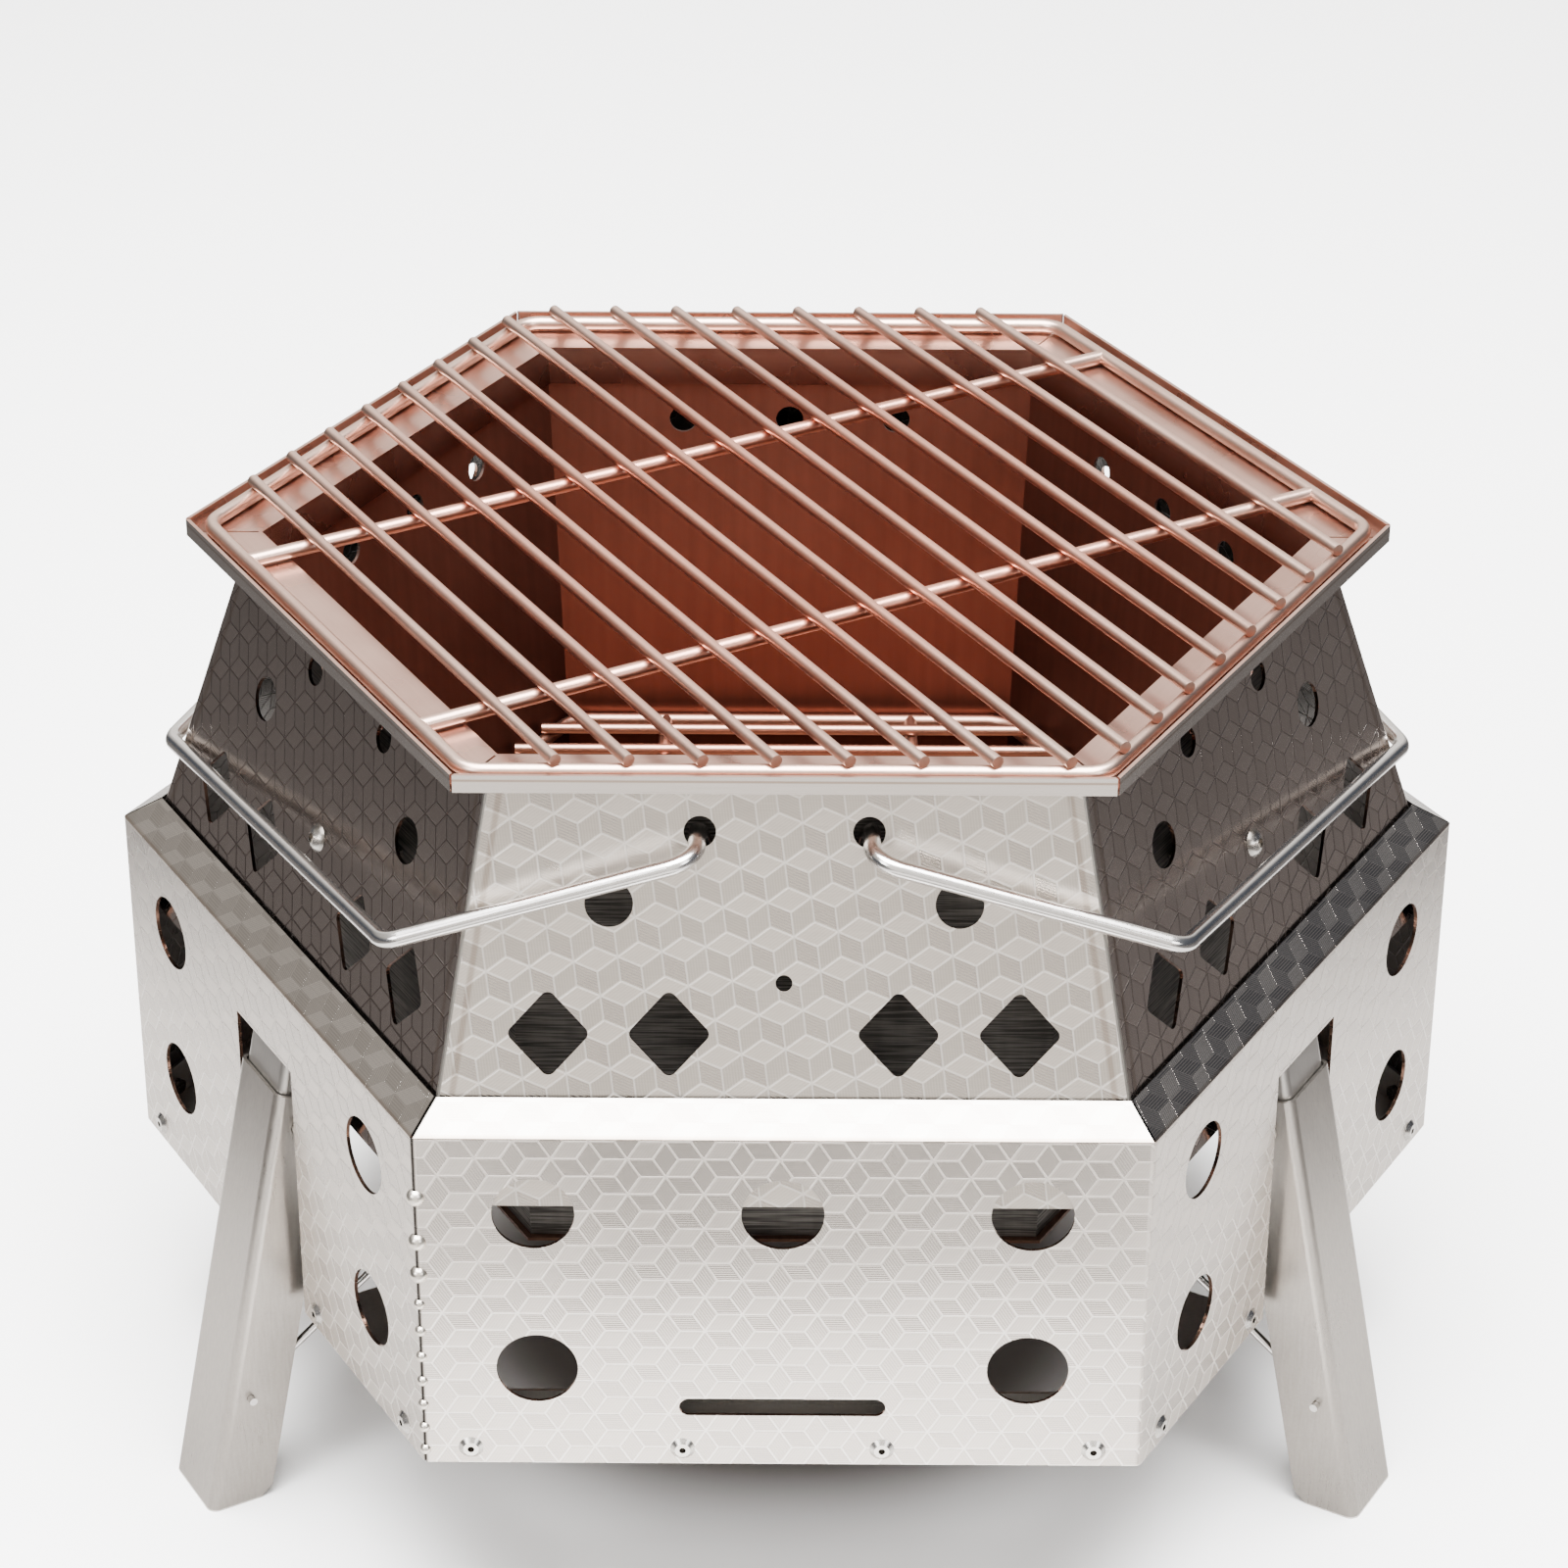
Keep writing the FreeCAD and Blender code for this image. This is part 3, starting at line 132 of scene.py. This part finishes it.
def metal(name, build):
    """A metal material; build(graph) returns colour, roughness and normal."""
    made = bpy.data.materials.new(name)
    made.use_nodes = True
    graph = Graph(made.node_tree)
    shader = made.node_tree.nodes["Principled BSDF"]
    shader.inputs["Metallic"].default_value = 1.0
    colour, roughness, normal = build(graph)
    graph.feed(shader.inputs["Base Color"], colour)
    graph.feed(shader.inputs["Roughness"], roughness)
    if normal is not None:
        graph.feed(shader.inputs["Normal"], normal)
    return made


def dress(material, *names):
    """Give CAD nodes a material of their own."""
    for name in names:
        for slot in cad[name].material_slots:
            slot.material = material


def names_with(start):
    return sorted(name for name in cad if name.startswith(start))


# ------------------------------------------------------------------ sizes from the frame
skirt_low = min(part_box("base_skirt_front")[0][2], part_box("base_skirt_back")[0][2])
bevel_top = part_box("base_skirt_front")[1][2]
shell_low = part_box("shell_panel_front")[0][2]
shell_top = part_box("shell_panel_front")[1][2]
shell_out = -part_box("shell_panel_front")[0][1]
shell_in = -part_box("shell_panel_front")[1][1]
liner_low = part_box("liner")[0][2]
liner_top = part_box("liner")[1][2]
rim_low, rim_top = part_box("rim_ledge")[0][2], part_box("rim_ledge")[1][2]
rim_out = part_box("rim_ledge")[1][1]
shell_slope = math.hypot(shell_top - shell_low, shell_out - shell_in) / (shell_top - shell_low)
BEVEL_RISE = 0.0075  # height of the base's sloping top edge
BEVEL_STRETCH = 0.86  # extra length along the slope for each metre of its height
skirt_top = bevel_top - BEVEL_RISE
RHOMBUS = 0.0079  # side of one rhombus of the rolled pattern
HATCH_LINES = 9  # in the length of a rhombus side


# ------------------------------------------------------------------ rolled rhombus pattern
def panel_frame(g):
    """For a point on a side of the hexagon: its place along, out and up,
    and how far its face turns outward and upward."""
    x, y, z = g.split(g.position())
    turn = math.radians(60)
    angle = g.math("ARCTAN2", y, x)
    index = g.math("FLOOR", g.math("DIVIDE", angle, turn))
    middle = g.math("MULTIPLY_ADD", index, turn, turn / 2)
    cosine = g.math("COSINE", middle)
    sine = g.math("SINE", middle)
    out = g.add(g.mul(x, cosine), g.mul(y, sine))
    along = g.sub(g.mul(y, cosine), g.mul(x, sine))
    normal_x, normal_y, normal_z = g.split(g.facing())
    outward = g.add(g.mul(normal_x, cosine), g.mul(normal_y, sine))
    return along, out, z, outward, normal_z


def make_pattern_group():
    """Rhombi in three directions, with thin lines between them and a fine hatch."""
    tree = bpy.data.node_groups.new("rhombus_pattern", "ShaderNodeTree")
    tree.interface.new_socket("Spot", in_out="INPUT", socket_type="NodeSocketVector")
    for name in ("Line", "Tone", "Hatch"):
        tree.interface.new_socket(name, in_out="OUTPUT", socket_type="NodeSocketFloat")
    g = Graph(tree)
    spot = g.node("NodeGroupInput").outputs["Spot"]
    ends = g.node("NodeGroupOutput")
    wide = 3.0
    tall = math.sqrt(3.0)

    def wrapped(vector, shift_x, shift_y):
        x, y, _ = g.split(vector)
        across = g.math("WRAP", g.sub(x, shift_x), wide / 2, -wide / 2)
        up = g.math("WRAP", g.sub(y, shift_y), tall / 2, -tall / 2)
        return across, up

    first_x, first_y = wrapped(spot, 0.0, 0.0)
    second_x, second_y = wrapped(spot, wide / 2, tall / 2)
    first_reach = g.add(g.mul(first_x, first_x), g.mul(first_y, first_y))
    second_reach = g.add(g.mul(second_x, second_x), g.mul(second_y, second_y))
    pick = g.math("LESS_THAN", second_reach, first_reach)
    x = g.add(first_x, g.mul(pick, g.sub(second_x, first_x)))
    y = g.add(first_y, g.mul(pick, g.sub(second_y, first_y)))

    # distance to the cell's border, over its three pairs of sides
    farthest = None
    for degrees in (30, 90, 150):
        angle = math.radians(degrees)
        reach = g.math("ABSOLUTE", g.add(g.mul(x, math.cos(angle)), g.mul(y, math.sin(angle))))
        farthest = reach if farthest is None else g.math("MAXIMUM", farthest, reach)
    border = g.sub(tall / 2, farthest)

    # three spokes split the cell into rhombi
    third = math.radians(120)
    angle = g.math("WRAP", g.math("ARCTAN2", y, x), math.radians(360), 0.0)
    sector = g.math("FLOOR", g.math("DIVIDE", angle, third))
    inside = g.sub(g.math("WRAP", angle, third, 0.0), third / 2)
    radius = g.math("SQRT", g.add(g.mul(x, x), g.mul(y, y)))
    spoke = g.mul(radius, g.math("SINE", g.sub(third / 2, g.math("ABSOLUTE", inside))))
    line = g.math("MINIMUM", border, spoke)

    # the hatch runs along one side of each rhombus
    heading = g.mul(sector, third)
    stripes = g.sub(g.mul(y, g.math("COSINE", heading)), g.mul(x, g.math("SINE", heading)))
    hatch = g.math("SINE", g.mul(stripes, 2 * math.pi * HATCH_LINES))
    first = g.math("LESS_THAN", sector, 0.5)
    third_one = g.math("GREATER_THAN", sector, 1.5)
    g.feed(ends.inputs["Line"], line)
    # one family of rhombi gets the full tone and another 0.35 of it: painted sheen, for the light
    # each hatch direction catches
    g.feed(ends.inputs["Tone"], g.add(first, g.mul(third_one, 0.35)))
    g.feed(ends.inputs["Hatch"], hatch)
    return tree


PATTERN = make_pattern_group()


def rhombi(g, along, up, look):
    """The pattern at a place on a panel, its lattice turned by an angle."""
    angle = math.radians(look["turn"])
    across = g.math("DIVIDE", g.add(along, look["shift"]), RHOMBUS)
    rise = g.math("DIVIDE", up, RHOMBUS * look["squeeze"])
    x = g.add(g.mul(across, math.cos(angle)), g.mul(rise, math.sin(angle)))
    y = g.sub(g.mul(rise, math.cos(angle)), g.mul(across, math.sin(angle)))
    made = g.node("ShaderNodeGroup", node_tree=PATTERN)
    g.feed(made.inputs["Spot"], g.join(x, y))
    return made.outputs["Line"], made.outputs["Tone"], made.outputs["Hatch"]


def grain(g, along, up, fine=2600.0, long=60.0):
    """Brushed grain that runs along a panel."""
    stretched = g.join(g.mul(along, long), g.mul(up, fine))
    return g.noise(stretched, 1.0, 2.0, 0.6)


def patterned(look):
    """Builder for rolled sheet: rhombi, thin lines, hatch, grain and cut edges."""

    def build(g):
        along, out, z, outward, lift = panel_frame(g)
        up = look["up"](g, z)
        line, tone, hatch = rhombi(g, along, up, look)
        cloud = g.noise(g.position(), 14.0, 3.0)
        brushed = grain(g, up, along) if look["upright"] else grain(g, along, up)
        slope = g.smooth(lift, 0.25, 0.5)
        fade = g.mul(g.smooth(up, *look["fade"]), 0.75)
        drawn = g.smooth(line, *LINE_REACH, 1.0, 0.0)
        lines = g.mul(drawn, g.sub(1.0, g.mul(slope, 0.9)))
        # the tone term below is the painted sheen of the rhombus families
        light = g.total(
            1.0 - 0.5 * look["depth"],
            g.mul(tone, look["depth"]),
            g.mul(g.sub(brushed, 0.5), look["streak"]),
            g.mul(g.sub(cloud, 0.5), 0.20),
            g.mul(hatch, look["hatch"]),
        )
        # upward-facing faces, such as the base's sloping top edge, are painted 18% darker: painted
        # shade
        sheet = g.shade(rgba(*look["steel"]), g.mul(light, g.sub(1.0, g.mul(slope, 0.18))))
        # lines in the look's line colour: painted highlight where it is lighter than the sheet,
        # painted shade where darker; on the skirt the painted highlight fades towards the top
        faded = g.mul(g.mul(lines, fade), -look["ink"])
        inked = g.add(g.mul(lines, look["ink"]), faded)
        sheet = g.mix(inked, sheet, rgba(*look["line"]))
        if look["bend"] is not None:
            # a thin dark line at the bend, painted shade where the sheet turns, and grime beside
            # the two welded corners
            from_bend = g.math("ABSOLUTE", g.sub(z, look["bend"]))
            sheet = g.mix(g.smooth(from_bend, *BEND_REACH, 0.5, 0.0), sheet, rgba(*DARK_LINE))
            x, y, _ = g.split(g.position())
            polar = g.sub(g.math("ARCTAN2", y, x), SEAM_ANGLE)
            from_seam = g.math("ABSOLUTE", g.math("WRAP", polar, math.pi / 2, -math.pi / 2))
            sheet = g.mix(g.smooth(from_seam, *SEAM_REACH, 0.85, 0.0), sheet, rgba(*GRIME))
        else:
            # a thin dark line beside the weld at each corner of the shell
            x, y, _ = g.split(g.position())
            turn = g.math("WRAP", g.math("ARCTAN2", y, x), math.radians(30), math.radians(-30))
            from_corner = g.mul(g.math("ABSOLUTE", turn), out)
            beside = g.math("ABSOLUTE", g.sub(from_corner, CORNER_LINE))
            sheet = g.mix(g.smooth(beside, *CORNER_REACH, 0.45, 0.0), sheet, rgba(*DARK_LINE))
        # faces turned inward are painted near black: painted shade inside the skirt and the shell
        sheet = g.mix(g.smooth(outward, -0.1, -0.3), sheet, rgba(*INSIDE_SHADE))
        skin = g.smooth(g.math("ABSOLUTE", outward), 0.12, 0.4)
        sheet = g.mix(skin, rgba(*EDGE), sheet)
        roughness = g.total(
            look["rough"],
            g.mul(slope, -0.07),
            g.mul(tone, 0.3 * look["depth"]),
            g.mul(g.sub(cloud, 0.5), 0.08),
            g.mul(lines, look["line_rough"]),
        )
        height = g.total(g.mul(lines, -1.0), g.mul(hatch, 0.16), g.mul(brushed, 0.2))
        return sheet, roughness, g.bump(height, 0.4, 0.00012)

    return build


def skirt_up(g, z):
    above = g.math("MAXIMUM", g.sub(z, skirt_top), 0.0)
    return g.add(g.sub(z, skirt_low), g.mul(above, BEVEL_STRETCH))


def shell_up(g, z):
    return g.mul(g.sub(z, shell_low), shell_slope)


EDGE = (0.26, 0.15, 0.11)
# colour of thin dark lines: painted shade at the skirt's bend and under the rim's rolled edge, and
# the line beside each shell corner
DARK_LINE = (0.20, 0.14, 0.10)
GRIME = (0.03, 0.026, 0.022)
# painted shade on the inner faces of the sheets
INSIDE_SHADE = (0.06, 0.054, 0.05)
SEAM_ANGLE = math.radians(60)
# where each thin mark begins to fade and where it ends: rhombus lines in rhombus sides,
# the bend and the corner line in metres, the seam in radians round the pit's axis
LINE_REACH = (0.022, 0.052)
BEND_REACH = (0.0002, 0.0009)
SEAM_REACH = (0.0018, 0.0040)
CORNER_REACH = (0.0003, 0.0012)
CORNER_LINE = 0.0034  # from the shell's corner to the line beside its weld
SKIRT_LOOK = {
    "steel": (0.50, 0.462, 0.425),
    "line": (0.95, 0.92, 0.88),
    "ink": 0.62,
    "fade": (0.055, 0.085),
    "line_rough": 0.10,
    "depth": 0.17,
    "hatch": 0.045,
    "streak": 0.22,
    "upright": False,
    "bend": skirt_top,
    "turn": 240.0,
    "shift": 0.00875,
    "squeeze": 0.955,
    "rough": 0.25,
    "up": skirt_up,
}
SHELL_LOOK = {
    **SKIRT_LOOK,
    "steel": (0.52, 0.478, 0.432),
    "line": (0.80, 0.77, 0.73),
    "ink": 0.6,
    "fade": (0.5, 0.6),
    "depth": 0.24,
    "hatch": 0.05,
    "bend": None,
    "turn": 37.0,
    "shift": 0.0,
    "squeeze": 1.0,
    "rough": 0.27,
    "up": shell_up,
}
# side panels of the shell: the same steel painted darker, with dark lines: painted shade
DARK_LOOK = {
    **SHELL_LOOK,
    "steel": (0.36, 0.315, 0.29),
    "line": (0.075, 0.045, 0.035),
    "ink": 0.7,
    "depth": 0.06,
    "hatch": 0.03,
    "streak": 0.4,
    "upright": True,
    "rough": 0.17,
}
LEFT_LOOK = {**DARK_LOOK, "turn": 55.0}
RIGHT_LOOK = {**DARK_LOOK, "turn": 19.0, "steel": (0.46, 0.405, 0.375), "ink": 0.45, "depth": 0.10}
skirt_steel = metal("patterned_skirt", patterned(SKIRT_LOOK))
shell_steel = metal("patterned_shell", patterned(SHELL_LOOK))
dark_left = metal("patterned_dark_left", patterned(LEFT_LOOK))
dark_right = metal("patterned_dark_right", patterned(RIGHT_LOOK))


# ------------------------------------------------------------------ plain steels
def brushed(steel, rough, fine=(90.0, 90.0, 9.0), depth=0.10):
    """Builder for plain sheet with soft streaks and smudges."""

    def build(g):
        place = g.position()
        x, y, z = g.split(place)
        streak = g.noise(g.join(g.mul(x, fine[0]), g.mul(y, fine[1]), g.mul(z, fine[2])), 12.0, 3.0)
        cloud = g.noise(place, 22.0, 4.0)
        speck = g.noise(place, 900.0, 2.0)
        light = g.total(
            1.0,
            g.mul(g.sub(streak, 0.5), 2 * depth),
            g.mul(g.sub(cloud, 0.5), 2 * depth),
            g.mul(g.sub(speck, 0.5), depth),
        )
        roughness = g.total(rough, g.mul(g.sub(cloud, 0.5), 0.14), g.mul(g.sub(streak, 0.5), 0.08))
        return g.shade(rgba(*steel), light), roughness, g.bump(streak, 0.15, 0.0002)

    return build


def fastener_build(g):
    """Rivet and screw heads: painted highlight on top, painted shade round the edge of the head."""
    _, _, _, outward, _ = panel_frame(g)
    speck = g.noise(g.position(), 1400.0, 3.0)
    # light where the head faces out, dark where it turns away: painted highlight and painted shade
    crown = g.smooth(outward, 0.45, 0.93)
    colour = g.mix(crown, rgba(0.10, 0.09, 0.08), rgba(0.60, 0.58, 0.55))
    return g.shade(colour, g.add(0.85, g.mul(speck, 0.3))), g.add(0.2, g.mul(speck, 0.12)), None


leg_steel = metal("brushed_leg", brushed((0.36, 0.335, 0.308), 0.30, depth=0.16))
plain_steel = metal("brushed_plain", brushed((0.40, 0.385, 0.365), 0.34))
bright_steel = metal("bright_wire", brushed((0.66, 0.645, 0.63), 0.20, (20.0, 20.0, 20.0), 0.05))
fastener_steel = metal("bright_fastener", fastener_build)
weld_steel = metal("weld_bead", brushed((0.60, 0.56, 0.50), 0.30, (200.0, 200.0, 200.0), 0.14))


# ------------------------------------------------------------------ heat-tinted steels
def tinted_wire(cool, warm, reach):
    """Builder for grate wire: rosy where it is hot, greyer towards the frame."""

    def build(g):
        place = g.position()
        x, y, _ = g.split(place)
        radius = g.math("SQRT", g.add(g.mul(x, x), g.mul(y, y)))
        patch = g.noise(place, 18.0, 3.0)
        speck = g.noise(place, 700.0, 2.0)
        ragged = g.add(radius, g.mul(g.sub(patch, 0.5), 0.10))
        heat = g.smooth(ragged, 0.35 * reach, reach, 1.0, 0.0)
        colour = g.mix(heat, rgba(*cool), rgba(*warm))
        light = g.total(1.0, g.mul(g.sub(speck, 0.5), 0.16), g.mul(g.sub(patch, 0.5), 0.14))
        roughness = g.add(0.26, g.mul(patch, 0.12))
        return g.shade(colour, light), roughness, g.bump(speck, 0.1, 0.0001)

    return build


grill_steel = metal("grill_wire", tinted_wire((0.56, 0.40, 0.33), (0.60, 0.30, 0.22), 0.20))
charcoal_steel = metal("charcoal_wire", tinted_wire((0.42, 0.25, 0.19), (0.45, 0.20, 0.14), 0.16))


def liner_build(g):
    """Liner: rosy brown inside, darker towards the bottom; bare steel with level scratches outside,
    painted dark: painted shade of the gap behind the shell.
    """
    along, _, z, outward, _ = panel_frame(g)
    streak = g.noise(g.join(g.mul(along, 260.0), g.mul(z, 14.0)), 1.0, 3.0)
    cloud = g.noise(g.position(), 12.0, 4.0)
    inside = g.smooth(outward, -0.2, 0.2, 1.0, 0.0)
    height = g.smooth(z, liner_low, liner_top)
    scratch = g.noise(g.join(g.mul(along, 45.0), g.mul(z, 1500.0)), 1.0, 3.0)
    # the outside is painted darker than bare steel: painted shade between liner and shell
    bare = g.mix(g.smooth(scratch, 0.35, 0.65), rgba(0.10, 0.092, 0.085), rgba(0.30, 0.28, 0.26))
    hot = g.mix(height, rgba(0.08, 0.026, 0.018), rgba(0.24, 0.10, 0.07))
    colour = g.mix(inside, bare, hot)
    light = g.total(1.0, g.mul(g.sub(streak, 0.5), 0.35), g.mul(g.sub(cloud, 0.5), 0.40))
    roughness = g.total(0.55, g.mul(inside, -0.21), g.mul(cloud, 0.16))
    return g.shade(colour, light), roughness, g.bump(streak, 0.12, 0.0002)


ROLL_DROP = 0.0018  # from the rim's top to the painted shade line under its rolled edge
ROLL_REACH = (0.0002, 0.0006)


def rim_build(g):
    """Rim: rosy ledge, plain steel on the outside of the lip with a painted-shade dark line
    under its rolled edge, darker flange inside."""
    along, out, z, outward, _ = panel_frame(g)
    cloud = g.noise(g.position(), 26.0, 4.0)
    streak = g.noise(g.join(g.mul(along, 40.0), g.mul(out, 900.0), g.mul(z, 900.0)), 1.0, 2.0)
    at_lip = g.smooth(out, rim_out - 0.004, rim_out - 0.002)
    outer = g.mul(g.smooth(outward, 0.3, 0.7), at_lip)
    ledge = g.mix(cloud, rgba(0.46, 0.27, 0.21), rgba(0.58, 0.40, 0.34))
    low = g.smooth(z, rim_low, liner_top, 1.0, 0.0)
    inner = g.mix(low, ledge, rgba(0.24, 0.11, 0.08))
    colour = g.mix(outer, inner, rgba(0.42, 0.39, 0.365))
    # painted shade: a thin dark line under the rolled edge of the lip
    from_roll = g.math("ABSOLUTE", g.sub(z, rim_top - ROLL_DROP))
    roll = g.smooth(from_roll, *ROLL_REACH, 0.7, 0.0)
    colour = g.mix(g.mul(outer, roll), colour, rgba(*DARK_LINE))
    light = g.total(1.0, g.mul(g.sub(streak, 0.5), 0.14), g.mul(g.sub(cloud, 0.5), 0.16))
    roughness = g.add(0.22, g.mul(cloud, 0.12))
    roughness = g.sub(roughness, g.mul(outer, 0.08))
    return g.shade(colour, light), roughness, g.bump(streak, 0.12, 0.0001)


def ash_build(g):
    """Ash floor: dull brown steel with a burnt, blotchy middle."""
    place = g.position()
    cloud = g.noise(place, 16.0, 5.0, 0.65)
    speck = g.noise(place, 420.0, 3.0)
    colour = g.mix(cloud, rgba(0.06, 0.03, 0.02), rgba(0.17, 0.09, 0.06))
    light = g.add(0.8, g.mul(speck, 0.4))
    return g.shade(colour, light), g.add(0.34, g.mul(cloud, 0.3)), g.bump(speck, 0.2, 0.0003)


liner_steel = metal("liner_tinted", liner_build)
rim_steel = metal("rim_tinted", rim_build)
ash_steel = metal("ash_floor_burnt", ash_build)


# ------------------------------------------------------------------ dress the frame
dress(skirt_steel, "base_skirt_front", "base_skirt_back")
dress(shell_steel, "shell_panel_front", "shell_panel_back")
dress(dark_left, "shell_panel_front_left", "shell_panel_right_back")
dress(dark_right, "shell_panel_front_right", "shell_panel_left_back")
dress(plain_steel, *names_with("bottom_ring_"), *names_with("leg_bracket_"), "liner_ties")
dress(leg_steel, "leg_back", "leg_front_left", "leg_front_right")
dress(bright_steel, "handle_left", "handle_right", *names_with("leg_stay_"))
dress(fastener_steel, "skirt_rivets", "shell_screws", "shell_nuts", *names_with("leg_pin_"))
dress(weld_steel, "corner_welds", "shell_corner_seams")
dress(grill_steel, *names_with("grill_"))
dress(charcoal_steel, *names_with("charcoal_"))
dress(liner_steel, "liner")
dress(rim_steel, "rim_ledge")
dress(ash_steel, "ash_floor")


# ------------------------------------------------------------------ studio
FLOOR_WHITE = 0.93
UNDER_BASE = (0.09, 0.16)  # radii between which the floor's painted shadow goes from dark to white
FLAG_HEIGHT = 0.0006  # just above the floor, so that reflections meet it first
WALL_GLOW = 1.9  # shows as near white once the view transform is applied


def make_plane(name, half, height):
    """A square sheet of the studio, level at a height."""
    mesh = bpy.data.meshes.new(name)
    ends = ((-half, -half), (half, -half), (half, half), (-half, half))
    corners = [(x, y, height) for x, y in ends]
    mesh.from_pydata(corners, [], [(0, 1, 2, 3)])
    sheet = bpy.data.objects.new(name, mesh)
    bpy.context.scene.collection.objects.link(sheet)
    made = bpy.data.materials.new(name)
    made.use_nodes = True
    made.node_tree.nodes["Principled BSDF"].inputs["Roughness"].default_value = 0.8
    mesh.materials.append(made)
    return sheet, made.node_tree


def make_floor():
    """A wide pale floor, a little darker where the base covers it: a painted shadow."""
    _, tree = make_plane("studio_floor", 9.0, 0.0)
    g = Graph(tree)
    x, y, _ = g.split(g.position())
    radius = g.math("SQRT", g.add(g.mul(x, x), g.mul(y, y)))
    # painted shadow under the base
    under = g.smooth(radius, *UNDER_BASE, 1.0, 0.0)
    colour = g.mix(under, rgba(FLOOR_WHITE, FLOOR_WHITE, FLOOR_WHITE), rgba(0.09, 0.08, 0.072))
    g.feed(tree.nodes["Principled BSDF"].inputs["Base Color"], colour)


def make_flag():
    """A sheet that only reflections see: pale before and behind the pit, then dark,
    then grey further out; grey beside it, and dark at the far sides."""
    flag, tree = make_plane("studio_flag", 8.0, FLAG_HEIGHT)
    g = Graph(tree)
    x, y, _ = g.split(g.position())
    reach = g.math("ABSOLUTE", x)
    beside = g.smooth(reach, 0.10, 0.21)
    far_side = g.smooth(reach, 0.40, 0.52)
    ahead = g.smooth(g.math("ABSOLUTE", y), 0.355, 0.415)
    front = g.mix(ahead, rgba(0.72, 0.70, 0.68), rgba(0.06, 0.057, 0.053))
    front = g.mix(g.smooth(g.math("ABSOLUTE", y), 0.58, 0.68), front, rgba(0.36, 0.34, 0.32))
    near = g.mix(beside, front, rgba(0.34, 0.33, 0.32))
    colour = g.mix(far_side, near, rgba(0.02, 0.017, 0.016))
    g.feed(tree.nodes["Principled BSDF"].inputs["Base Color"], colour)
    for ray in ("camera", "diffuse", "transmission", "volume_scatter", "shadow"):
        setattr(flag, "visible_" + ray, False)


def make_backdrop():
    """A pale wall all round, for the camera only, so that it lights nothing."""
    sides = 48
    radius, top = 8.8, 9.0
    turns = [math.radians(360 * k / sides) for k in range(sides)]
    ring = [(radius * math.cos(turn), radius * math.sin(turn)) for turn in turns]
    corners = [(x, y, z) for z in (-0.01, top) for x, y in ring]
    faces = [(k, (k + 1) % sides, (k + 1) % sides + sides, k + sides) for k in range(sides)]
    mesh = bpy.data.meshes.new("studio_backdrop")
    mesh.from_pydata(corners, [], faces)
    wall = bpy.data.objects.new("studio_backdrop", mesh)
    bpy.context.scene.collection.objects.link(wall)
    made = bpy.data.materials.new("studio_backdrop")
    made.use_nodes = True
    shader = made.node_tree.nodes["Principled BSDF"]
    shader.inputs["Base Color"].default_value = rgba(0.0, 0.0, 0.0)
    shader.inputs["Specular IOR Level"].default_value = 0.0
    shader.inputs["Emission Color"].default_value = rgba(1.0, 0.99, 0.98)
    shader.inputs["Emission Strength"].default_value = WALL_GLOW
    mesh.materials.append(made)
    for ray in ("diffuse", "glossy", "transmission", "volume_scatter", "shadow"):
        setattr(wall, "visible_" + ray, False)


def make_world():
    """A studio that is light in front, behind and overhead and dark at the sides, with
    a warm glow high on the left."""
    world = bpy.data.worlds.new("studio")
    bpy.context.scene.world = world
    world.use_nodes = True
    g = Graph(world.node_tree)
    x, _, z = g.split(g.node("ShaderNodeTexCoord").outputs["Generated"])
    aside = g.smooth(g.math("ABSOLUTE", x), 0.30, 0.70)
    top = g.smooth(z, 0.75, 0.98)
    left = g.smooth(x, -0.35, -0.75)
    high = g.smooth(z, 0.15, 0.55)
    open_walls = g.mix(aside, rgba(1.75, 1.66, 1.55), rgba(0.085, 0.095, 0.12))
    walls = g.mix(top, open_walls, rgba(2.2, 2.2, 2.2))
    glow = g.shade(rgba(0.65, 0.60, 0.52), g.mul(left, high))
    background = world.node_tree.nodes["Background"]
    added = g.node("ShaderNodeVectorMath", operation="ADD")
    g.feed(added.inputs[0], walls)
    g.feed(added.inputs[1], glow)
    g.feed(background.inputs["Color"], added.outputs[0])
    background.inputs["Strength"].default_value = 1.0


def make_light(name, place, aim, width, height, power):
    """A soft rectangular lamp that faces a point."""
    data = bpy.data.lights.new(name, "AREA")
    data.shape = "RECTANGLE"
    data.size = width
    data.size_y = height
    data.energy = power
    lamp = bpy.data.objects.new(name, data)
    lamp.location = place
    lamp.rotation_euler = (Vector(aim) - Vector(place)).to_track_quat("-Z", "Y").to_euler()
    bpy.context.scene.collection.objects.link(lamp)


def make_camera():
    """The photograph's viewing angle."""
    target = Vector((-0.0013, 0.06935, 0.176))
    azimuth = math.radians(0.26)
    elevation = math.radians(29.4)
    distance = 1.6584
    away = Vector(
        (
            math.sin(azimuth) * math.cos(elevation),
            -math.cos(azimuth) * math.cos(elevation),
            math.sin(elevation),
        )
    )
    data = bpy.data.cameras.new("camera")
    data.sensor_width = 36.0
    data.lens = 105.03
    camera = bpy.data.objects.new("camera", data)
    camera.location = target + away * distance
    turn = (-away).to_track_quat("-Z", "Y").to_matrix().to_4x4()
    roll = Euler((0.0, 0.0, math.radians(0.18))).to_matrix().to_4x4()
    camera.rotation_euler = (turn @ roll).to_euler()
    bpy.context.scene.collection.objects.link(camera)
    bpy.context.scene.camera = camera


make_floor()
make_flag()
make_backdrop()
make_world()
make_light("overhead", (0.0, -0.35, 2.4), (0.0, -0.35, 0.2), 2.4, 2.2, 520.0)
make_light("front_left", (-1.9, -2.2, 1.9), (0.0, 0.0, 0.2), 1.2, 1.2, 60.0)
make_light("front_right", (1.9, -2.2, 1.6), (0.0, 0.0, 0.2), 1.0, 1.0, 30.0)
make_camera()
